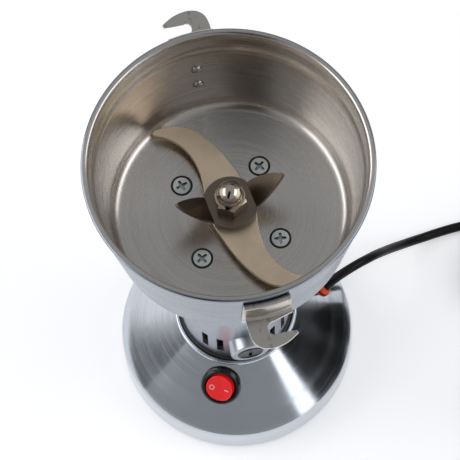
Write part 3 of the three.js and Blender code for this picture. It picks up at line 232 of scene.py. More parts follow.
class Look:
    """One node material, started from its plain colour, metalness and roughness."""

    def __init__(self, name, colour, metallic, roughness, **sockets):
        self.material = bpy.data.materials.new(name)
        self.material.use_nodes = True
        self.tree = self.material.node_tree
        self.shader = self.tree.nodes["Principled BSDF"]
        self.colour = colour
        self.shader.inputs["Base Color"].default_value = (*colour, 1)
        self.shader.inputs["Metallic"].default_value = metallic
        self.shader.inputs["Roughness"].default_value = roughness
        for socket, value in sockets.items():
            self.shader.inputs[socket.replace("_", " ")].default_value = value
        self.place = self.node("ShaderNodeTexCoord").outputs["Object"]

    def node(self, kind, settings=(), **inputs):
        made = self.tree.nodes.new(kind)
        for key, value in dict(settings).items():
            setattr(made, key, value)
        for key, value in inputs.items():
            socket = made.inputs[int(key[1:])] if key[1:].isdigit() else made.inputs[key.replace("_", " ")]
            if isinstance(value, bpy.types.NodeSocket):
                self.tree.links.new(value, socket)
            else:
                socket.default_value = value
        return made

    def math(self, action, first, second=0.0):
        return self.node("ShaderNodeMath", {"operation": action}, _0=first, _1=second).outputs[0]

    def stretched(self, x=1, y=1, z=1, turn=0):
        """Object coordinates turned about Z and then scaled along each axis."""
        about_z, multiply = {"rotation_type": "Z_AXIS"}, {"operation": "MULTIPLY"}
        rotate = self.node("ShaderNodeVectorRotate", about_z, Vector=self.place, Angle=turn)
        return self.node("ShaderNodeVectorMath", multiply, _0=rotate.outputs[0], _1=(x, y, z)).outputs[0]

    def round_axis(self):
        """X, Y and Z of the object's coordinates, and the distance from the Z axis."""
        parts = self.node("ShaderNodeSeparateXYZ", Vector=self.place).outputs
        flat = self.node("ShaderNodeCombineXYZ", X=parts[0], Y=parts[1])
        length = {"operation": "LENGTH"}
        radius = self.node("ShaderNodeVectorMath", length, _0=flat.outputs[0]).outputs["Value"]
        return parts[0], parts[1], parts[2], radius

    def about_axis(self, fineness, drift):
        """Coordinates that change quickly outwards and up, and slowly along X, as lathe marks do."""
        x, _, z, radius = self.round_axis()
        outward = self.math("MULTIPLY", radius, fineness)
        upward = self.math("MULTIPLY", z, fineness)
        across = self.math("MULTIPLY", x, drift)
        return self.node("ShaderNodeCombineXYZ", X=outward, Y=upward, Z=across).outputs[0]

    def outward_from(self, start, slope, base):
        """Millimetres outside a cone about Z whose radius is start + slope * (z - base)."""
        _, _, z, radius = self.round_axis()
        cone = self.math("ADD", self.math("MULTIPLY", z, slope), (start - slope * base) * MM)
        return self.math("MULTIPLY", self.math("SUBTRACT", radius, cone), 1 / MM)

    def noise(self, vector=None, scale=1.0, detail=3.0, rough=0.5):
        settings = dict(Vector=vector or self.place, Scale=scale, Detail=detail, Roughness=rough)
        return self.node("ShaderNodeTexNoise", **settings).outputs["Fac"]

    def spread(self, factor, low, high, start=0.3, end=0.7):
        settings = dict(Value=factor, From_Min=start, From_Max=end, To_Min=low, To_Max=high)
        return self.node("ShaderNodeMapRange", **settings).outputs[0]

    def roughen(self, factor, low, high, start=0.3, end=0.7):
        self.tree.links.new(self.spread(factor, low, high, start, end), self.shader.inputs["Roughness"])

    def tint(self, factor, other, start=0.3, end=0.7):
        """Blend from the present colour to another one as the factor grows."""
        target = self.shader.inputs["Base Color"]
        now = target.links[0].from_socket if target.is_linked else (*self.colour, 1)
        amount = self.spread(factor, 0.0, 1.0, start, end)
        mix = self.node("ShaderNodeMix", {"data_type": "RGBA"}, _0=amount, _6=now, _7=(*other, 1))
        self.tree.links.new(mix.outputs[2], target)

    def emboss(self, factor, strength, depth):
        """Bump, its depth in millimetres. Later ones add to earlier ones."""
        target = self.shader.inputs["Normal"]
        bump = self.node("ShaderNodeBump", Height=factor, Strength=strength, Distance=depth * MM)
        if target.is_linked:
            self.tree.links.new(target.links[0].from_socket, bump.inputs["Normal"])
        self.tree.links.new(bump.outputs[0], target)

    def comb(self, amount, rotation=0.25):
        """Stretch the gloss across marks that run round the Z axis."""
        tangent = self.node("ShaderNodeTangent", {"direction_type": "RADIAL", "axis": "Z"})
        self.shader.inputs["Anisotropic"].default_value = amount
        self.shader.inputs["Anisotropic Rotation"].default_value = rotation
        self.tree.links.new(tangent.outputs[0], self.shader.inputs["Tangent"])


# ------------------------------------------------------------------ materials
def turned_metal(name, colour, roughness, marks, comb, smudge=0.04, tone=0.85, fineness=2600):
    """Metal finished on a lathe or a spinning brush."""
    look = Look(name, colour, 1, roughness)
    fine = look.noise(look.about_axis(fineness, 25), detail=4)
    broad = look.noise(look.about_axis(fineness / 9, 9), detail=3)
    cloud = look.noise(scale=28, detail=4)
    both = look.math("ADD", look.math("MULTIPLY", fine, 0.6), look.math("MULTIPLY", broad, 0.4))
    smudged = look.spread(cloud, roughness - smudge, roughness + smudge)
    rough = look.math("ADD", look.spread(both, -0.06, 0.06), smudged)
    look.tree.links.new(rough, look.shader.inputs["Roughness"])
    look.tint(both, tuple(tone * c for c in colour), 0.35, 0.75)
    look.emboss(fine, marks, 0.02)
    look.emboss(broad, marks * 0.6, 0.06)
    if comb:
        look.comb(comb)
    return look


def plain_metal(name, colour, roughness, grain=900, marks=0.15, smudge=0.06, tone=0.8):
    """Metal with an even fine grain and a little staining."""
    look = Look(name, colour, 1, roughness)
    fine = look.noise(scale=grain, detail=3)
    cloud = look.noise(scale=70, detail=4)
    look.roughen(cloud, roughness - smudge, roughness + smudge)
    look.tint(cloud, tuple(tone * c for c in colour), 0.4, 0.75)
    look.emboss(fine, marks, 0.02)
    return look


def moulded(name, colour, roughness, grain=700, marks=0.2, **sockets):
    """Moulded plastic or rubber."""
    look = Look(name, colour, 0, roughness, **sockets)
    fine = look.noise(scale=grain, detail=3)
    cloud = look.noise(scale=60, detail=3)
    look.roughen(cloud, roughness - 0.05, roughness + 0.07)
    look.tint(fine, tuple(0.8 * c + 0.004 for c in colour), 0.45, 0.8)
    look.emboss(fine, marks, 0.03)
    return look


# The bowl's outer wall is a cone: this radius at this height, and this much more for each millimetre up.
BOWL_WALL_RADIUS = 53.2
BOWL_WALL_BASE = 171.75
BOWL_WALL_SLOPE = 8.3 / 53.25

BOWL_STEEL = turned_metal("spun_steel", rgb(214, 209, 204), 0.27, 0.2, 0.75)
# Painted reflection: the outer wall is tinted darker and bluer than the inside, standing in for darker
# surroundings reflected in it.
outside_for_painted_reflection = BOWL_STEEL.outward_from(BOWL_WALL_RADIUS, BOWL_WALL_SLOPE, BOWL_WALL_BASE)
BOWL_STEEL.tint(outside_for_painted_reflection, rgb(150, 156, 165), -0.9, -0.5)
BASE_STEEL = turned_metal("polished_steel", rgb(202, 207, 214), 0.17, 0.08, 0.4, tone=0.93, fineness=1800)
NECK_METAL = turned_metal("cast_aluminium", rgb(180, 184, 191), 0.34, 0.08, 0.2, tone=0.93, fineness=1500)
BLADE_STEEL = plain_metal("blade_steel", rgb(244, 221, 192), 0.4, 1400, 0.2)
UPPER_STEEL = plain_metal("dark_steel", rgb(128, 116, 103), 0.3, 1400, 0.2)
BLADE_STEEL.shader.inputs["Metallic"].default_value = 0.8
NUT_METAL = plain_metal("nickel", rgb(214, 202, 188), 0.11, 1600, 0.05, 0.03)
RIVET_METAL = plain_metal("rivet_zinc", rgb(180, 180, 178), 0.3)
SHAFT_STEEL = plain_metal("shaft_steel", rgb(176, 172, 168), 0.32)
IRON = plain_metal("laminated_iron", rgb(112, 114, 118), 0.5, 500, 0.3)
COPPER = plain_metal("copper_wire", rgb(186, 104, 66), 0.35, 400, 0.4)
CARBON = moulded("carbon", rgb(40, 40, 44), 0.6)
BLACK_GLOSS = moulded("black_plastic", rgb(20, 20, 22), 0.2, 900, 0.06)
BLACK_MATT = moulded("black_rubber", rgb(22, 22, 23), 0.5, 800, 0.25)
CORD_VINYL = moulded("cord_vinyl", rgb(8, 8, 9), 0.42, 1200, 0.15, Specular_IOR_Level=0.25)
ORANGE_RUBBER = moulded("orange_rubber", rgb(224, 74, 38), 0.42, 900, 0.15)
# Painted glow: a weak red emission makes the rocker shine though no lamp is inside it.
RED_PLASTIC_PAINTED_GLOW = moulded("red_plastic", rgb(225, 24, 28), 0.2, 900, 0.05, Subsurface_Weight=0.35,
                      Subsurface_Scale=1.0, Subsurface_Radius=(0.004, 0.0008, 0.0006), Coat_Weight=0.4,
                      Emission_Color=(1, 0.02, 0.02, 1), Emission_Strength=0.15)
MARK_PAINT = moulded("mark_paint", rgb(250, 190, 185), 0.4)


def screw_look(top):
    """Light zinc whose recess, a little under the given height, is painted near black as shade."""
    look = plain_metal("screw_zinc", rgb(232, 240, 236), 0.42, 900, 0.15)
    look.shader.inputs["Metallic"].default_value = 0.45      # a dull coat over the zinc
    height = look.node("ShaderNodeSeparateXYZ", Vector=look.place).outputs[2]
    # Painted shade: everything more than 0.3 mm under the head's top, the cross recess, turns near black.
    look.tint(look.math("SUBTRACT", top * MM, height), rgb(14, 18, 16), 0.1 * MM, 0.3 * MM)
    return look


def hook_look(name, angle):
    """Stainless strip, brushed along its fold, with a few stains that run down it."""
    colour = rgb(206, 200, 192)
    look = Look(name, colour, 1, 0.3)
    along = look.noise(look.stretched(900, 60, 900, -angle), detail=3)
    stain = look.noise(look.stretched(260, 500, 60, -angle), detail=4)
    look.roughen(along, 0.24, 0.36)
    look.tint(stain, tuple(0.5 * c for c in colour), 0.56, 0.74)
    look.emboss(along, 0.25, 0.02)
    return look


# ------------------------------------------------------------------ sizes that several pieces share
BOWL_TOP = 225
FLOOR_Z = 168.75
BOWL_BOTTOM = 167.55
BOWL_RADIUS = 61.5
FLOOR_RADIUS = 47.1
FLOOR_FILLET = 5
NOSE_RADIUS = 9.6
BASE_RADIUS = 55.4
HEM_TOP = 17
SHELL_WALL = 1.3
LIP_TOP = 47
LIP_INNER = 27.0
LIP_OUTER = 28.9
LIP_BEAD = 1.4
CONE_SAG = 0.7
CONE_SLOPE = math.atan2(LIP_TOP - LIP_BEAD - HEM_TOP, BASE_RADIUS - LIP_OUTER)
NECK_RADIUS = 25.6
HOUSING_BORE = 23.4
FLANGE_TOP = 167.4
FLANGE_RADIUS = 33
BOSS_ANGLE = math.radians(-79.5)
BOSS_Z = 66.5
BOSS_REACH = 31
BOSS_RADIUS = 9
CAP_RADIUS = 6
CAP_BOTTOM = 28.6
CAP_FACE = 31.4
VENT_TURNS = [math.radians(a) for a in (-46.4, -29.3, 29.3, 46.4)]      # from each brush boss
VENT_WIDTH = 3.2
VENT_HEIGHT = 15
VENT_Z = 62
BEARING_BORE = 11.15
BEARING_BOTTOM = 155.4
NOSE_TOP = 170.15
SHAFT_RADIUS = 4


def cone_height(radius):
    share = (radius - LIP_OUTER) / (BASE_RADIUS - LIP_OUTER)
    straight = LIP_TOP - LIP_BEAD - (radius - LIP_OUTER) * math.tan(CONE_SLOPE)
    return straight - CONE_SAG * 4 * share * (1 - share)


def cone_place(angle, radius):
    """A frame on the cone: its own X runs round the cone, its Y up the slope and its Z square to it."""
    outward = Vector((math.cos(angle), math.sin(angle), 0))
    along = Vector((-math.sin(angle), math.cos(angle), 0))
    normal = outward * math.sin(CONE_SLOPE) + UP * math.cos(CONE_SLOPE)
    turn = Matrix((along, normal.cross(along), normal)).transposed().to_4x4()
    return Matrix.Translation(outward * radius + UP * cone_height(radius)) @ turn


SWITCH_PLACE = cone_place(math.radians(-104), LIP_OUTER + (BASE_RADIUS - LIP_OUTER) * 0.29)
GROMMET_PLACE = cone_place(math.radians(17.2), LIP_OUTER + (BASE_RADIUS - LIP_OUTER) * 0.5736)

GROMMET_RADIUS = 3.3
GROMMET_COLLAR = 4
GROMMET_TOP = 2.6
SWITCH_RADIUS = 8.3

# ------------------------------------------------------------------ mains lead, coil, tie and plug
CORD_RADIUS = 2.25
COIL_CENTRE = Vector((147, 26.3))
COIL_OUTER = 27.25
COIL_INNER = 22.75
COIL_LAYERS = (3.35, 7.85, 12.35)
PLUG_PLACE = shift(151, -21.5, 6.9) @ spin(math.radians(-120))
PLUG_HALF_WIDTH = 17.5
PLUG_HALF_HEIGHT = 6.8
PIN_SPREAD = 9.5             # from the plug's middle line to each pin's
PIN_ROOT = 28.5              # along the plug, inside its moulding
PIN_TIP = 55
RELIEF_LENGTH = 22
RELIEF_RINGS = 6
RELIEF_PITCH = 3.2

CORD_ROUTE = [
    (43.9, 13.6, 30.3), (47.8, 15.7, 33.3), (52.1, 18.0, 34.9), (56.5, 20.5, 35.1), (60.6, 23.1, 34.1),
    (64.3, 25.6, 32.0), (67.5, 28.2, 29.0), (70.5, 30.7, 25.4), (73.3, 33.1, 21.5), (76.2, 35.5, 17.6),
    (79.3, 37.8, 13.9), (82.6, 40.0, 10.5), (86.2, 42.1, 7.7), (90.1, 44.1, 5.3), (94.5, 45.9, 3.7),
    (99.1, 47.6, 2.8), (104.1, 49.1, 2.4), (109.2, 50.4, 2.3), (114.4, 51.4, 2.4), (119.7, 52.3, 2.7),
    (124.9, 52.9, 3.0), (130.0, 53.3, 3.3),
]

# Where the winding changes place: degrees wound so far at the start and end of the change,
# and the radius and height after it.
COIL_CHANGES = [
    (240, 330, COIL_INNER, COIL_LAYERS[0]),
    (570, 627, COIL_INNER, COIL_LAYERS[1]),
    (930, 987, COIL_INNER, COIL_LAYERS[2]),
    (1240, 1330, COIL_OUTER, COIL_LAYERS[2]),
    (1570, 1627, COIL_OUTER, COIL_LAYERS[1]),
]
COIL_WOUND = 1920
COIL_STEP = 7.5


def coil_point(wound):
    radius, height = COIL_OUTER, COIL_LAYERS[0]
    for start, end, next_radius, next_height in COIL_CHANGES:
        t = max(0, min(1, (wound - start) / (end - start)))
        share = (1 - math.cos(math.pi * t)) / 2
        radius += (next_radius - radius) * share
        height += (next_height - height) * share
    angle = math.radians(90 - wound)
    return (COIL_CENTRE.x + radius * math.cos(angle), COIL_CENTRE.y + radius * math.sin(angle), height)


def cord_points():
    turns = int(COIL_WOUND / COIL_STEP)
    coil = [coil_point(k * COIL_STEP) for k in range(turns + 1)]
    relief_end = PLUG_PLACE @ Vector((1 - RELIEF_LENGTH, 0, 0))
    tail = [coil[-1], (coil[-1][0] - 4.2, coil[-1][1] - 7.6, 7.3), tuple(relief_end)]
    bridge = [CORD_ROUTE[-1], (138.5, 53.55, 3.4)]
    return flowing(CORD_ROUTE[:-1] + bridge + coil[:1], 5)[:-1] + coil[:-1] + flowing(tail, 3)


def make_cord():
    line = bpy.data.curves.new("cord_line", "CURVE")
    line.dimensions = "3D"
    points = cord_points()
    spline = line.splines.new("POLY")
    spline.points.add(len(points) - 1)
    for point, place in zip(spline.points, points):
        point.co = (*(Vector(place) * MM), 1)
    line.bevel_depth = CORD_RADIUS * MM
    line.bevel_resolution = 5
    line.use_fill_caps = True
    line.materials.append(CORD_VINYL.material)
    lead = bpy.data.objects.new("mains_lead", line)
    bpy.context.collection.objects.link(lead)
    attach(lead, "stand")
    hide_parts("power_cord", "cord_coil")
    return lead


def swept_band(path, half_width, thickness):
    """A flat band that follows a closed path in the XZ plane, its width along Y."""
    body = bmesh.new()
    count = len(path)
    rows = []
    for i, point in enumerate(path):
        ahead = Vector(path[(i + 1) % count]) - Vector(path[i - 1])
        normal = Vector((ahead.y, -ahead.x)).normalized()
        outline = [(0, -half_width), (thickness, -half_width), (thickness, half_width), (0, half_width)]
        row = []
        for out, y in eased(outline, 0.3):
            row.append(body.verts.new((point[0] + normal.x * out, y, point[1] + normal.y * out)))
        rows.append(row)
    for i in range(count):
        lower, upper = rows[i], rows[(i + 1) % count]
        for k in range(len(lower)):
            n = (k + 1) % len(lower)
            body.faces.new([lower[k], lower[n], upper[n], upper[k]])
    bmesh.ops.recalc_face_normals(body, faces=body.faces)
    return body


def make_tie():
    middle = (COIL_OUTER + COIL_INNER) / 2
    inner, outer, low, high = middle - 5.1, middle + 5.1, 0.8, 14.9
    path = eased([(inner, low), (outer, low), (outer, high), (inner, high)], 2.4, steps=6)
    body = swept_band(path, 4, 0.8)
    place = Matrix.Translation((*COIL_CENTRE, 0)) @ spin(math.radians(200))
    return piece("lead_tie", placed(body, place), "stand", ["cord_tie"], BLACK_MATT)


def make_plug():
    half = PLUG_HALF_WIDTH
    outline = [(0, -5, 0), (9, -half + 4, 3), (15, -half, 3), (36, -half, 2), (36, half, 2), (15, half, 3),
               (9, half - 4, 3), (0, 5, 0)]
    body = as_object("plug", slab(eased(outline, 2, steps=5), -PLUG_HALF_HEIGHT, PLUG_HALF_HEIGHT))
    soften = body.modifiers.new("soften", "BEVEL")
    soften.width = 2.6
    soften.segments = 4
    soften.limit_method = "ANGLE"
    soften.angle_limit = math.radians(50)
    settle(body)
    rings = []
    for k in range(RELIEF_RINGS):
        start = 1 - RELIEF_LENGTH + k * RELIEF_PITCH
        size = 3.0 + 0.22 * k
        rings += [(size, start), (size, start + 2.0), (size - 0.7, start + 2.3), (size - 0.7, start + 2.9)]
    end = 0.01 - RELIEF_LENGTH
    side = eased([(2.9, end)] + rings + [(4.4, 1)], 0.25, ring=False)
    relief = turned([(0, end)] + side + [(0, 1)], 40)
    carve(body, "UNION", [placed(relief, spin(math.pi / 2, "Y"))])
    body.data.transform(PLUG_PLACE)
    made = [piece("plug_moulding", body, "stand", ["plug_body"], BLACK_MATT, 40)]
    for side, label in ((1, "left"), (-1, "right")):
        tip = arc((0.9, PIN_TIP - 1.1), 1.1, 0, math.pi / 2, 5)
        pin = turned([(0, PIN_ROOT), (2, PIN_ROOT)] + tip + [(0, PIN_TIP)], 40)
        placed(pin, spin(math.pi / 2, "Y"), shift(0, side * PIN_SPREAD, 0), PLUG_PLACE)
        made.append(piece(f"pin_{label}", pin, "stand", [f"plug_pin_{label}"], NUT_METAL))
    return made


lead = make_cord()
with_lead = [make_tie()] + make_plug()


def make_grommet():
    bore = CORD_RADIUS + 0.1
    profile = [(bore, -18), (bore + 0.5, -18), (GROMMET_RADIUS, -3), (GROMMET_RADIUS, 0.3, 0),
               (GROMMET_COLLAR, 0.3, 0.2), (GROMMET_COLLAR, 1.2, 0.4), (bore + 1.2, 1.6, 0.3),
               (bore + 0.5, GROMMET_TOP, 0.3), (bore, GROMMET_TOP, 0.2)]
    body = placed(turned(eased(profile, 0.4), 48), GROMMET_PLACE)
    return piece("lead_grommet", body, "stand", ["cord_grommet"], ORANGE_RUBBER)


make_grommet()


# ------------------------------------------------------------------ bowl, its screws and seals
def bowl_outer(z):
    return BOWL_WALL_RADIUS + BOWL_WALL_SLOPE * (z - BOWL_WALL_BASE)


def bowl_inner(z):
    return 51.9 + 4.7 * (z - BOWL_WALL_BASE) / 42.45


SCREW_CIRCLE = 24.7
SCREW_START = math.radians(-32.9)
SCREW_HEAD = 3.8
SCREW_TOP = FLOOR_Z + 0.1
SCREW_TURNS = [math.radians(a) for a in (3, 47, 28, 40)]      # how each cross stands
SINK_RADIUS = 4.8


def screw_place(index):
    angle = SCREW_START + index * TURN / 4
    return shift(SCREW_CIRCLE * math.cos(angle), SCREW_CIRCLE * math.sin(angle), 0)


def make_bowl():
    corner = BOWL_BOTTOM + 4
    profile = [(NOSE_RADIUS + 0.15, BOWL_BOTTOM)]
    profile += arc((bowl_outer(corner) - 4, corner), 4, -math.pi / 2, 0, 8)
    profile += [(bowl_outer(z), z) for z in (185, 200, 215)]
    rim = [(BOWL_RADIUS, BOWL_TOP - 2), (BOWL_RADIUS, BOWL_TOP, 0.9), (BOWL_RADIUS - 2.6, BOWL_TOP, 1.5),
           (BOWL_RADIUS - 3.5, BOWL_TOP - 3.5, 2.5), (BOWL_RADIUS - 3.6, 215.6, 2.4),
           (bowl_inner(212), 212, 2.4), (bowl_inner(205), 205)]
    profile += eased(rim, 1, ring=False, steps=6)
    profile += [(bowl_inner(190), 190)]
    profile += arc((FLOOR_RADIUS, FLOOR_Z + FLOOR_FILLET), FLOOR_FILLET, 0, -math.pi / 2, 8)
    profile += [(36, FLOOR_Z), (NOSE_RADIUS + 0.15, FLOOR_Z)]
    bowl = as_object("bowl_pan", turned(profile, 256))
    sink = [(0, 160), (2.3, 160), (2.3, FLOOR_Z - 2.5), (SINK_RADIUS, FLOOR_Z), (SINK_RADIUS, 171), (0, 171)]
    carve(bowl, "DIFFERENCE", [placed(turned(sink, 48), screw_place(i)) for i in range(4)])
    piece("bowl_pan", bowl, "stand", ["bowl"], BOWL_STEEL, 25)


def make_floor_screw(index, look):
    head = [(SCREW_HEAD, SCREW_TOP - 0.12, 0.1), (SCREW_HEAD, SCREW_TOP, 0.1)]
    shank = [(0, 160), (2, 160), (2, SCREW_TOP - 1.9)]
    cone = eased([(*shank[-1], 0)] + head + [(0, SCREW_TOP)], 0.1, ring=False)
    screw = as_object("screw", turned(shank + cone[1:], 48))
    lobes = []
    for turn in (0, math.pi / 2):
        outline = eased([(-2.6, -0.52), (-0.85, -0.72), (0.85, -0.72), (2.6, -0.52), (2.6, 0.52),
                         (0.85, 0.72), (-0.85, 0.72), (-2.6, 0.52)], 0.3)
        lobes.append(placed(slab(outline, SCREW_TOP - 1.5, SCREW_TOP + 1), spin(turn)))
    lobes.append(placed(turned([(0, SCREW_TOP - 1.8), (1.15, SCREW_TOP - 0.5), (1.15, SCREW_TOP + 1),
                                (0, SCREW_TOP + 1)], 8), spin(math.pi / 8)))
    carve(screw, "DIFFERENCE", lobes)
    screw.data.transform(screw_place(index) @ spin(SCREW_TURNS[index]))
    name = f"floor_screw_{index + 1}"
    piece(name, screw, "stand", [f"bowl_screw_{index + 1}"], look, 30)


def make_screw_seal(index):
    fall = 0.9
    profile = [(3.95 - fall, FLOOR_Z - fall), (4.7 - fall, FLOOR_Z - fall), (4.7, FLOOR_Z - 0.02),
               (4.45, FLOOR_Z + 0.16), (3.95, FLOOR_Z + 0.05)]
    seal = placed(turned(eased(profile, 0.12), 48), screw_place(index))
    name = f"floor_screw_seal_{index + 1}"
    piece(name, seal, "stand", [f"bowl_screw_seal_{index + 1}"], BLACK_MATT)


make_bowl()
SCREW_ZINC = screw_look(SCREW_TOP)
for number in range(4):
    make_floor_screw(number, SCREW_ZINC)
    make_screw_seal(number)

# ------------------------------------------------------------------ lid hooks and rivets
HOOK_ANGLE = math.radians(-78)
HOOK_PLATE = 1.2
HOOK_LEG = 63.4
HOOK_WIDE = 9.9
HOOK_REACH = 78.4
FOLD_TOP = 220.9
TONGUE_TOP = 210.5
TAB_BOTTOM = 184
RIVET_LEVELS = ((188.6, "lower"), (200.6, "upper"))
RIVET_HEAD = 2.5
RIVET_SHANK = 1.6
RIVET_CROWN = 1.15


def hook_strip():
    """The strip's middle line as (outward, z): from the tab's foot, over the fold, out along the tongue."""
    half = HOOK_PLATE / 2
    foot = bowl_outer(TAB_BOTTOM) + 0.3 + half
    tab = bowl_outer(FOLD_TOP) + 0.3 + half
    fold = (HOOK_LEG - tab) / 2
    fold_z = FOLD_TOP - half - fold
    bend = 2.6
    tongue = TONGUE_TOP - half
    line = [(foot, TAB_BOTTOM)] + arc((tab + fold, fold_z), fold, math.pi, 0, 12)
    line += arc((HOOK_LEG + bend, tongue + bend), bend, math.pi, 1.5 * math.pi, 8)
    return line + [(HOOK_REACH + 1, tongue)]


def hook_plan():
    """The hook seen from above: X outward, Y towards the side where its slot is open."""
    outline = [(47.5, -HOOK_WIDE), (70, -HOOK_WIDE)]
    outline += flowing([(70, -HOOK_WIDE), (74.2, -9.0), (77.2, -6.4), (HOOK_REACH, -2.6), (78.2, 1.6),
                        (77.0, 5.6), (74.6, HOOK_WIDE)], 5)[1:]
    outline += [(73.5, 9.5), (73.1, 5.5), (72.9, 1)]
    outline += arc((70.2, 1), 3, 0, -math.pi, 12)[1:]
    outline += [(67.1, 2), (65.2, HOOK_WIDE), (47.5, HOOK_WIDE)]
    return outline


def make_hook(index, side):
    half = HOOK_PLATE / 2
    line = hook_strip()
    near, far = [], []
    for i, point in enumerate(line):
        ahead = Vector(line[min(i + 1, len(line) - 1)]) - Vector(line[max(i - 1, 0)])
        normal = Vector((-ahead.y, ahead.x)).normalized() * half
        near.append(tuple(Vector(point) + normal))
        far.append(tuple(Vector(point) - normal))
    hook = as_object("hook", turned(near + far[::-1], 192))
    carve(hook, "INTERSECT", [slab(hook_plan(), TAB_BOTTOM - 1, FOLD_TOP + 1)])
    angle = HOOK_ANGLE + index * math.pi
    hook.data.transform(spin(angle))
    look = hook_look(f"hook_steel_{side}", angle)
    piece(f"hook_{side}", hook, "stand", [f"lid_hook_{side}"], look, 28, 0.28, 3)
    for z, level in RIVET_LEVELS:
        inner = bowl_inner(z) - 0.15
        outer = bowl_outer(z) + 0.3 + HOOK_PLATE + 0.15
        dome = [(RIVET_HEAD * math.cos(a), RIVET_CROWN * math.sin(a)) for a in (0.15, 0.4, 0.7, 1.0, 1.3)]
        profile = [(0, inner - RIVET_CROWN)] + [(radius, inner - rise) for radius, rise in dome[::-1]]
        profile += [(RIVET_HEAD, inner + 0.3), (RIVET_SHANK, inner + 0.3)]
        profile += [(RIVET_SHANK, outer - 0.3), (RIVET_HEAD, outer - 0.3)]
        profile += [(radius, outer + rise) for radius, rise in dome]
        rivet = turned(profile + [(0, outer + RIVET_CROWN)], 40)
        placed(rivet, spin(math.pi / 2, "Y"), shift(0, 0, z), spin(angle))
        piece(f"rivet_head_{side}_{level}", rivet, "stand", [f"rivet_{side}_{level}"], RIVET_METAL)


for number, label in enumerate(("front", "rear")):
    make_hook(number, label)


# ------------------------------------------------------------------ motor housing, brush caps and seal
def along_boss(body, angle):
    return placed(body, spin(math.pi / 2, "Y"), shift(0, 0, BOSS_Z), spin(angle))


def make_housing():
    bottom = FLANGE_TOP - 8
    outside = eased([(NECK_RADIUS, 40), (NECK_RADIUS, 147, 6), (27.1, BEARING_BOTTOM, 3), (31.5, bottom, 2),
                     (FLANGE_RADIUS, bottom + 1, 0.4), (FLANGE_RADIUS, FLANGE_TOP, 0.4),
                     (NOSE_RADIUS, FLANGE_TOP, 0), (NOSE_RADIUS, NOSE_TOP, 0.3), (8, NOSE_TOP, 0.3),
                     (8, 163.6, 0)], 0.4, ring=False, steps=5)
    inside = [(BEARING_BORE, 163.5), (BEARING_BORE, BEARING_BOTTOM), (13.65, BEARING_BOTTOM),
              (13.65, bottom + 1), (HOUSING_BORE, bottom - 1), (HOUSING_BORE, 40)]
    housing = as_object("housing", turned(outside + inside, 128))
    angles = (BOSS_ANGLE, BOSS_ANGLE + math.pi)
    boss = [(0, HOUSING_BORE + 0.4), (BOSS_RADIUS, HOUSING_BORE + 0.4), (BOSS_RADIUS, BOSS_REACH, 0.8),
            (0, BOSS_REACH)]
    carve(housing, "UNION", [along_boss(turned(eased(boss, 0, ring=False), 64), a) for a in angles])
    seat = CAP_BOTTOM - 0.15
    bore = [(0, 20), (5.2, 20), (5.2, seat), (CAP_RADIUS + 0.15, seat), (CAP_RADIUS + 0.15, 32), (0, 32)]
    carve(housing, "DIFFERENCE", [along_boss(turned(bore, 64), a) for a in angles])
    slots = []
    for angle in angles:
        for offset in VENT_TURNS:
            wide, high = VENT_WIDTH / 2, VENT_HEIGHT / 2
            outline = eased([(-wide, -high), (wide, -high), (wide, high), (-wide, high)], 0.5)
            slot = placed(slab(outline, 20, 28), spin(math.pi / 2, "X"), spin(math.pi / 2))
            slots.append(placed(slot, shift(0, 0, VENT_Z), spin(angle + offset)))
    carve(housing, "DIFFERENCE", slots)
    piece("motor_neck", housing, "stand", ["motor_housing"], NECK_METAL, 30)


def make_brush_cap(angle, side):
    profile = eased([(0, CAP_BOTTOM), (CAP_RADIUS, CAP_BOTTOM, 0.2), (CAP_RADIUS, CAP_FACE, 0.5),
                     (5.1, CAP_FACE, 0.3), (4.8, CAP_FACE - 0.5, 0.3), (0, CAP_FACE - 0.5)], 0.2, ring=False)
    cap = as_object("cap", turned(profile, 64))
    carve(cap, "DIFFERENCE", [block((7.4, 1.6, 2), (0, 0, 31.2))])
    cap.data.transform(spin(angle) @ shift(0, 0, BOSS_Z) @ spin(math.pi / 2, "Y"))
    piece(f"cap_{side}", cap, "stand", [f"brush_cap_{side}"], BLACK_GLOSS, 30)


make_housing()
make_brush_cap(BOSS_ANGLE, "front")
make_brush_cap(BOSS_ANGLE + math.pi, "rear")
seal_profile = eased([(NECK_RADIUS + 0.1, 43), (26.85, 43), (26.85, 46.6), (NECK_RADIUS + 0.1, 47.4)], 0.3)
piece("neck_ring", turned(seal_profile, 128), "stand", ["neck_seal"], BLACK_MATT)


# ------------------------------------------------------------------ base shell, bottom plate and feet
def make_base():
    steps = 14
    radii = [BASE_RADIUS - 1.2 + (LIP_OUTER - BASE_RADIUS + 1.2) * k / steps for k in range(steps + 1)]
    outside = [(r, cone_height(r)) for r in radii]
    drop = SHELL_WALL / math.cos(CONE_SLOPE)
    inside = [(r, z - drop) for r, z in outside][::-1]
    inside[0] = (LIP_INNER, cone_height(LIP_OUTER) - drop)
    inside[-1] = (BASE_RADIUS - SHELL_WALL, HEM_TOP - 1.6)
    hem = [(BASE_RADIUS - SHELL_WALL, 2), (BASE_RADIUS, 2, 0.3), (BASE_RADIUS, HEM_TOP - 0.4, 1.4),
           outside[1]]
    hem = eased(hem, 0.3, ring=False, steps=5)
    lip = arc((LIP_OUTER - 0.95, LIP_TOP - 0.95), 0.95, 0, math.pi, 8)
    base = as_object("base", turned(hem + outside[2:] + lip + inside, 192))
    holes = [(SWITCH_PLACE, SWITCH_RADIUS + 0.3), (GROMMET_PLACE, GROMMET_RADIUS + 0.15)]
    cutters = [placed(turned([(0, -8), (r, -8), (r, 8), (0, 8)], 64), place) for place, r in holes]
    carve(base, "DIFFERENCE", cutters)
    piece("base_cover", base, "stand", ["base_shell"], BASE_STEEL, 25)


FOOT_CIRCLE = 43
PLATE_RADIUS = 53.8
PLATE_BOTTOM = 3.5
PLATE_TOP = 5.5


def foot_place(index):
    angle = math.radians(45) + index * TURN / 4
    return shift(FOOT_CIRCLE * math.cos(angle), FOOT_CIRCLE * math.sin(angle), 0)


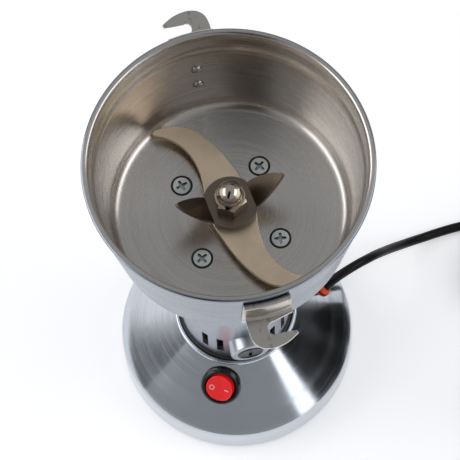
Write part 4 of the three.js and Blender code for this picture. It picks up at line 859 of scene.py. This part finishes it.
def make_plate():
    disc = [(0, PLATE_BOTTOM), (PLATE_RADIUS, PLATE_BOTTOM), (PLATE_RADIUS, PLATE_TOP), (0, PLATE_TOP)]
    plate = as_object("plate", turned(eased(disc, 0.3, ring=False), 128))
    vents = []
    for k in range(12):
        outline = eased([(14.5, -1.7), (29.5, -1.7), (29.5, 1.7), (14.5, 1.7)], 1.5, steps=5)
        vents.append(placed(slab(outline, 0, 9), spin(k * TURN / 12)))
    carve(plate, "DIFFERENCE", vents)
    bores = [placed(turned([(0, 0), (1.8, 0), (1.8, 9), (0, 9)], 24), foot_place(i)) for i in range(4)]
    carve(plate, "DIFFERENCE", bores)
    piece("under_plate", plate, "stand", ["bottom_plate"], BLACK_MATT)


make_base()
make_plate()
for number in range(4):
    ring = eased([(3.5, 0), (6.6, 0), (7, 0.6), (7, 3.35), (1.8, 3.35), (1.8, 2.2), (3.5, 2.2)], 0.25)
    foot = placed(turned(ring, 48), foot_place(number))
    piece(f"rubber_foot_{number + 1}", foot, "stand", [f"foot_{number + 1}"], BLACK_MATT)
    shank = [(0, 0.6), (2.4, 0.6), (3.2, 1.4), (3.2, 2.05), (1.5, 2.05), (1.5, 13), (0, 13)]
    screw = as_object("screw", turned(shank, 40))
    carve(screw, "DIFFERENCE", [block((3.4, 0.8, 1.6), (0, 0, 0.6)), block((0.8, 3.4, 1.6), (0, 0, 0.6))])
    screw.data.transform(foot_place(number))
    name = f"foot_fixing_{number + 1}"
    piece(name, screw, "stand", [f"foot_screw_{number + 1}"], RIVET_METAL, 30)

# ------------------------------------------------------------------ switch
ROCKER_RADIUS = 6.5
ROCKER_TILT = math.radians(10)
ROCKER_TOP = 2.5
BEZEL_TOP = 3.0
BEZEL_RADIUS = 9.6
WELL_RADIUS = 7.4
MARK_OUT = 3.6               # from the rocker's middle to each mark


def make_switch_body():
    rim = [(SWITCH_RADIUS, 0.8, 0), (BEZEL_RADIUS, 0.8, 0.2), (BEZEL_RADIUS, 1.7, 0.6), (8.7, BEZEL_TOP, 0.8),
           (7.7, BEZEL_TOP, 0.4), (WELL_RADIUS, 2.3, 0.3), (WELL_RADIUS, -8, 0), (0, -8, 0)]
    profile = [(0, -14), (SWITCH_RADIUS, -14)] + eased(rim, 0.3, ring=False, steps=4)
    body = as_object("switch", turned(profile, 96))
    carve(body, "UNION", [block((0.8, 4.8, 8), (x, 0, -17.9)) for x in (-4, 4)])
    body.data.transform(SWITCH_PLACE)
    piece("switch_bezel", body, "stand", ["switch_body"], BLACK_GLOSS, 30)


def make_rocker():
    place = SWITCH_PLACE @ shift(0, 0, BEZEL_TOP - 0.8) @ spin(-ROCKER_TILT, "Y")
    valley = ROCKER_TOP - ROCKER_RADIUS * math.tan(ROCKER_TILT)
    side = [(-9, -1.8), (9, -1.8), (9, ROCKER_TOP + 0.16), (0, valley, 1.5), (-9, ROCKER_TOP + 0.16)]
    wedge = placed(slab(eased(side, 0, steps=5), -9, 9), spin(math.pi / 2, "X"))
    rocker = as_object("rocker", wedge)
    carve(rocker, "INTERSECT", [turned([(0, -4), (ROCKER_RADIUS, -4), (ROCKER_RADIUS, 6), (0, 6)], 96)])
    carve(rocker, "UNION", [turned([(0, -5.5), (3.8, -5.5), (3.8, -1.2), (0, -1.2)], 48)])
    rocker.data.transform(place)
    piece("rocker_cap", rocker, "rocker", ["switch_rocker"], RED_PLASTIC_PAINTED_GLOW, 32, 0.35, 3)
    slope = math.atan2(ROCKER_TOP - valley, ROCKER_RADIUS)
    for x, name in ((-MARK_OUT, "off_mark"), (MARK_OUT, "on_mark")):
        if name == "off_mark":
            mark = turned([(0.9, -0.05), (1.3, -0.05), (1.3, 0.06), (0.9, 0.06)], 40)
        else:
            mark = block((2.2, 0.45, 0.11), (0, 0, 0.005))
        height = valley + abs(x) * math.tan(slope)
        placed(mark, spin(-slope if x > 0 else slope, "Y"), shift(x, 0, height), place)
        piece(name, mark, "rocker", [], MARK_PAINT)


make_switch_body()
make_rocker()

# ------------------------------------------------------------------ blades, spacer, nut and shaft
BLADE_Z = 173.45
BLADE_THICKNESS = 2.5
SPACER_Z = 176.1
UPPER_Z = 178.85
UPPER_THICKNESS = 1.4
UPPER_HUB = 11.9
UPPER_TURN = math.radians(17.8)
WING_ROOT = 10.3
WING_HALF_ROOT = 5.97        # half of the fold's length
WING_LEAN = math.radians(47.6)
WING_BEND = 1.4
NUT_Z = 180.4
NUT_HEIGHT = 15
NUT_FLATS = 13
BORE = SHAFT_RADIUS + 0.15


def make_lower_blade():
    inner = flowing([(11.2, -4), (11.4, -9.6), (12.8, -16.7), (15.4, -22.9), (19.6, -28.6), (25.6, -32.8),
                     (31.6, -34.6)])
    tip = [(32.3, -35.2), (32.4, -35.9), (31.8, -36.8), (31, -37.2)]
    outer = flowing([(31, -37.2), (25, -38.2), (18.8, -37.8), (12.4, -35), (5.4, -28.6), (-0.4, -21),
                     (-4.6, -14.2), (-7.4, -9.4)])
    arm = inner + tip + outer[1:]
    blade = as_object("blade", slab(arm + [(-x, -y) for x, y in arm], BLADE_Z, BLADE_Z + BLADE_THICKNESS))
    carve(blade, "DIFFERENCE", [turned([(0, 170), (BORE, 170), (BORE, 180), (0, 180)], 48)])
    piece("blade_lower", blade, "rotor", ["lower_blade"], BLADE_STEEL, 30, 0.45, 1)


def bent_wing(point):
    """Bend one flat point of the upper blade upward beyond the root of its wing."""
    side = 1 if point.x > 0 else -1
    start = WING_ROOT - WING_BEND * math.tan(WING_LEAN / 2)
    past = abs(point.x) - start
    if past <= 0:
        return point
    turned_by = min(past / WING_BEND, WING_LEAN)
    straight = max(0, past - WING_BEND * WING_LEAN)
    middle = Vector((start, WING_BEND))
    out = middle.x + WING_BEND * math.sin(turned_by) + straight * math.cos(WING_LEAN)
    up = middle.y - WING_BEND * math.cos(turned_by) + straight * math.sin(WING_LEAN)
    out -= point.z * math.sin(turned_by)
    up += point.z * math.cos(turned_by)
    return Vector((side * out, point.y, up))


def make_upper_blade():
    edge = [(0, -WING_HALF_ROOT), (3.5, -5.9), (8.5, -5.3), (12.1, -4.6), (16.8, -3.4), (20.2, -2.2),
            (20.4, -1.4), (19.5, -0.4), (15.9, 1.9), (8.2, 4.8), (3, 5.8), (0, WING_HALF_ROOT)]
    wing = flowing([(WING_ROOT + u, y) for u, y in edge], 4)
    start = math.atan2(WING_HALF_ROOT, WING_ROOT)
    hub = arc((0, 0), UPPER_HUB, start, math.pi - start, 24)[1:-1]
    outline = wing + hub
    body = slab(outline + [(-x, -y) for x, y in outline], 0, UPPER_THICKNESS)
    for k in range(8):
        for side in (1, -1):
            where = Vector((side * (WING_ROOT - 0.65 + 0.18 * k), 0, 0))
            everything = body.verts[:] + body.edges[:] + body.faces[:]
            bmesh.ops.bisect_plane(body, geom=everything, plane_co=where, plane_no=(1, 0, 0))
    for vert in body.verts:
        vert.co = bent_wing(vert.co)
    blade = as_object("blade", placed(body, spin(UPPER_TURN), shift(0, 0, UPPER_Z)))
    carve(blade, "DIFFERENCE", [turned([(0, 175), (BORE, 175), (BORE, 183), (0, 183)], 48)])
    piece("blade_upper", blade, "rotor", ["upper_blade"], UPPER_STEEL, 35, 0.22, 2)


def make_nut():
    corner = NUT_FLATS / math.sqrt(3)
    angles = [math.radians(40 + 60 * k) for k in range(6)]
    hexagon = [(corner * math.cos(a), corner * math.sin(a)) for a in angles]
    nut = as_object("nut", slab(hexagon, NUT_Z, NUT_Z + 6.6))
    chamfer = [(0, NUT_Z - 1), (6.1, NUT_Z - 1), (7.0, NUT_Z + 0.5), (corner + 0.3, NUT_Z + 1.2),
               (corner + 0.3, NUT_Z + 5.2), (6.5, NUT_Z + 6.6), (6.1, NUT_Z + 7), (0, NUT_Z + 7)]
    carve(nut, "INTERSECT", [turned(chamfer, 96)])
    top = NUT_Z + NUT_HEIGHT
    dome = [(0, NUT_Z + 1), (5.75, NUT_Z + 1), (5.75, NUT_Z + 6.6), (5.9, NUT_Z + 7.4)]
    dome += arc((0, top - 5.9), 5.9, 0, math.pi / 2, 14)[:-1] + [(0, top)]
    carve(nut, "UNION", [turned(dome, 96)])
    carve(nut, "DIFFERENCE", [turned([(0, 179), (BORE, 179), (BORE, top - 3.5), (0, top - 3.5)], 48)])
    piece("nut", nut, "rotor", ["blade_nut"], NUT_METAL, 28, 0.25, 2)


def make_shaft():
    profile = [(0, 26), (SHAFT_RADIUS, 26), (SHAFT_RADIUS, 163.7), (5.2, 163.7), (5.2, 170.45), (7.5, 170.45),
               (7.5, 173.3), (SHAFT_RADIUS, 173.3), (SHAFT_RADIUS, 190.9), (0, 190.9)]
    body = turned(eased(profile, 0.2, ring=False), 64)
    piece("drive_shaft", body, "rotor", ["shaft"], SHAFT_STEEL)
    top = SPACER_Z + 2.6
    spacer = turned(eased([(BORE, SPACER_Z), (8, SPACER_Z), (8, top), (BORE, top)], 0.3), 64)
    piece("spacer", spacer, "rotor", ["blade_spacer"], SHAFT_STEEL)


make_lower_blade()
make_upper_blade()
make_nut()
make_shaft()

# ------------------------------------------------------------------ finishes of the CAD nodes that stay
CAD_LOOKS = {
    "shaft_seal": BLACK_MATT, "upper_bearing": NUT_METAL, "lower_bearing": NUT_METAL,
    "bearing_bracket": NECK_METAL,
    "armature_core": IRON, "armature_winding": COPPER, "commutator": COPPER, "cooling_fan": BLACK_MATT,
    "stator_core": IRON, "field_coil_1": COPPER, "field_coil_2": COPPER, "carbon_brush_front": CARBON,
    "carbon_brush_rear": CARBON, "brush_spring_front": RIVET_METAL, "brush_spring_rear": RIVET_METAL,
}
for node_name, look in CAD_LOOKS.items():
    for slot in bpy.data.objects[node_name].material_slots:
        slot.material = look.material


# ------------------------------------------------------------------ floor, lights and world
def add_floor():
    body = bmesh.new()
    bmesh.ops.create_grid(body, x_segments=1, y_segments=1, size=3000)
    floor = as_object("floor", body)
    floor.data.transform(Matrix.Scale(MM, 4))
    look = Look("pale_floor", rgb(240, 240, 242), 0, 0.9, Emission_Strength=FLOOR_GLOW)
    look.shader.inputs["Emission Color"].default_value = (1, 1, 1, 1)
    look.tint(look.noise(scale=6, detail=2), rgb(236, 236, 239))
    floor.data.materials.append(look.material)


def add_card(name, place, target, size, brightness):
    """A flat card that only shows as a reflection in the metal."""
    body = bmesh.new()
    bmesh.ops.create_grid(body, x_segments=1, y_segments=1, size=0.5)
    card = as_object(name, body)
    card.data.transform(Matrix.Diagonal((size[0], size[1], 1, 1)))
    card.location = place
    card.rotation_euler = (Vector(target) - Vector(place)).to_track_quat("Z", "Y").to_euler()
    look = Look(f"{name}_face", (0, 0, 0), 0, 1, Emission_Strength=brightness)
    look.shader.inputs["Emission Color"].default_value = (0.93, 0.96, 1, 1)
    look.shader.inputs["Specular IOR Level"].default_value = 0
    look.emboss(look.noise(scale=9), 0.02, 0.1)
    card.data.materials.append(look.material)
    card.visible_camera = False
    card.visible_diffuse = False
    card.visible_shadow = False
    card.visible_transmission = False


def add_light(name, place, target, size, power, colour=(1, 1, 1)):
    data = bpy.data.lights.new(name, "AREA")
    data.shape = "RECTANGLE"
    data.size, data.size_y = size
    data.energy = power
    data.color = colour
    light = bpy.data.objects.new(name, data)
    light.location = place
    light.rotation_euler = (Vector(target) - Vector(place)).to_track_quat("-Z", "Y").to_euler()
    bpy.context.collection.objects.link(light)
    return light


def add_world():
    """An evenly lit grey room, a little darker near the horizon."""
    world = bpy.data.worlds.new("studio")
    world.use_nodes = True
    bpy.context.scene.world = world
    tree = world.node_tree
    sky = tree.nodes["Background"]
    place = tree.nodes.new("ShaderNodeTexCoord")
    parts = tree.nodes.new("ShaderNodeSeparateXYZ")
    fade = tree.nodes.new("ShaderNodeMapRange")
    fade.interpolation_type = "SMOOTHSTEP"
    fade.inputs["From Min"].default_value = HORIZON_FADE[0]
    fade.inputs["From Max"].default_value = HORIZON_FADE[1]
    fade.inputs["To Min"].default_value = HORIZON_LEVEL
    fade.inputs["To Max"].default_value = ROOM_LEVEL
    tree.links.new(place.outputs["Generated"], parts.inputs[0])
    tree.links.new(parts.outputs[2], fade.inputs["Value"])
    tree.links.new(fade.outputs[0], sky.inputs["Strength"])
    sky.inputs["Color"].default_value = (0.93, 0.96, 1.0, 1)


FLOOR_GLOW = 0.4
ROOM_LEVEL = 0.36
HORIZON_LEVEL = 0.33
HORIZON_FADE = (0.25, 0.5)
SUBJECT = (0, 0, 0.15)
BOWL_FLOOR = (0, 0, 0.17)
CONE_MIDDLE = (0, 0, 0.05)

add_floor()
add_world()
add_light("softbox_left", (-1.05, 0.1, 0.8), SUBJECT, (1.3, 0.9), 9)
add_light("softbox_right", (1.05, -0.1, 0.95), SUBJECT, (1.2, 0.8), 5.5)
add_card("black_card", (0.26, 0.02, 0.07), (0, 0.02, 0.05), (0.42, 0.14), 0)
add_card("dark_card", (-0.13, -0.36, 0.8), BOWL_FLOOR, (0.26, 0.9), 0)
add_card("left_card", (-0.42, 0.12, 0.05), CONE_MIDDLE, (0.6, 0.1), 0.12)
add_card("streak_card", (0.51, -0.48, 0.17), CONE_MIDDLE, (0.16, 0.26), 2.2)
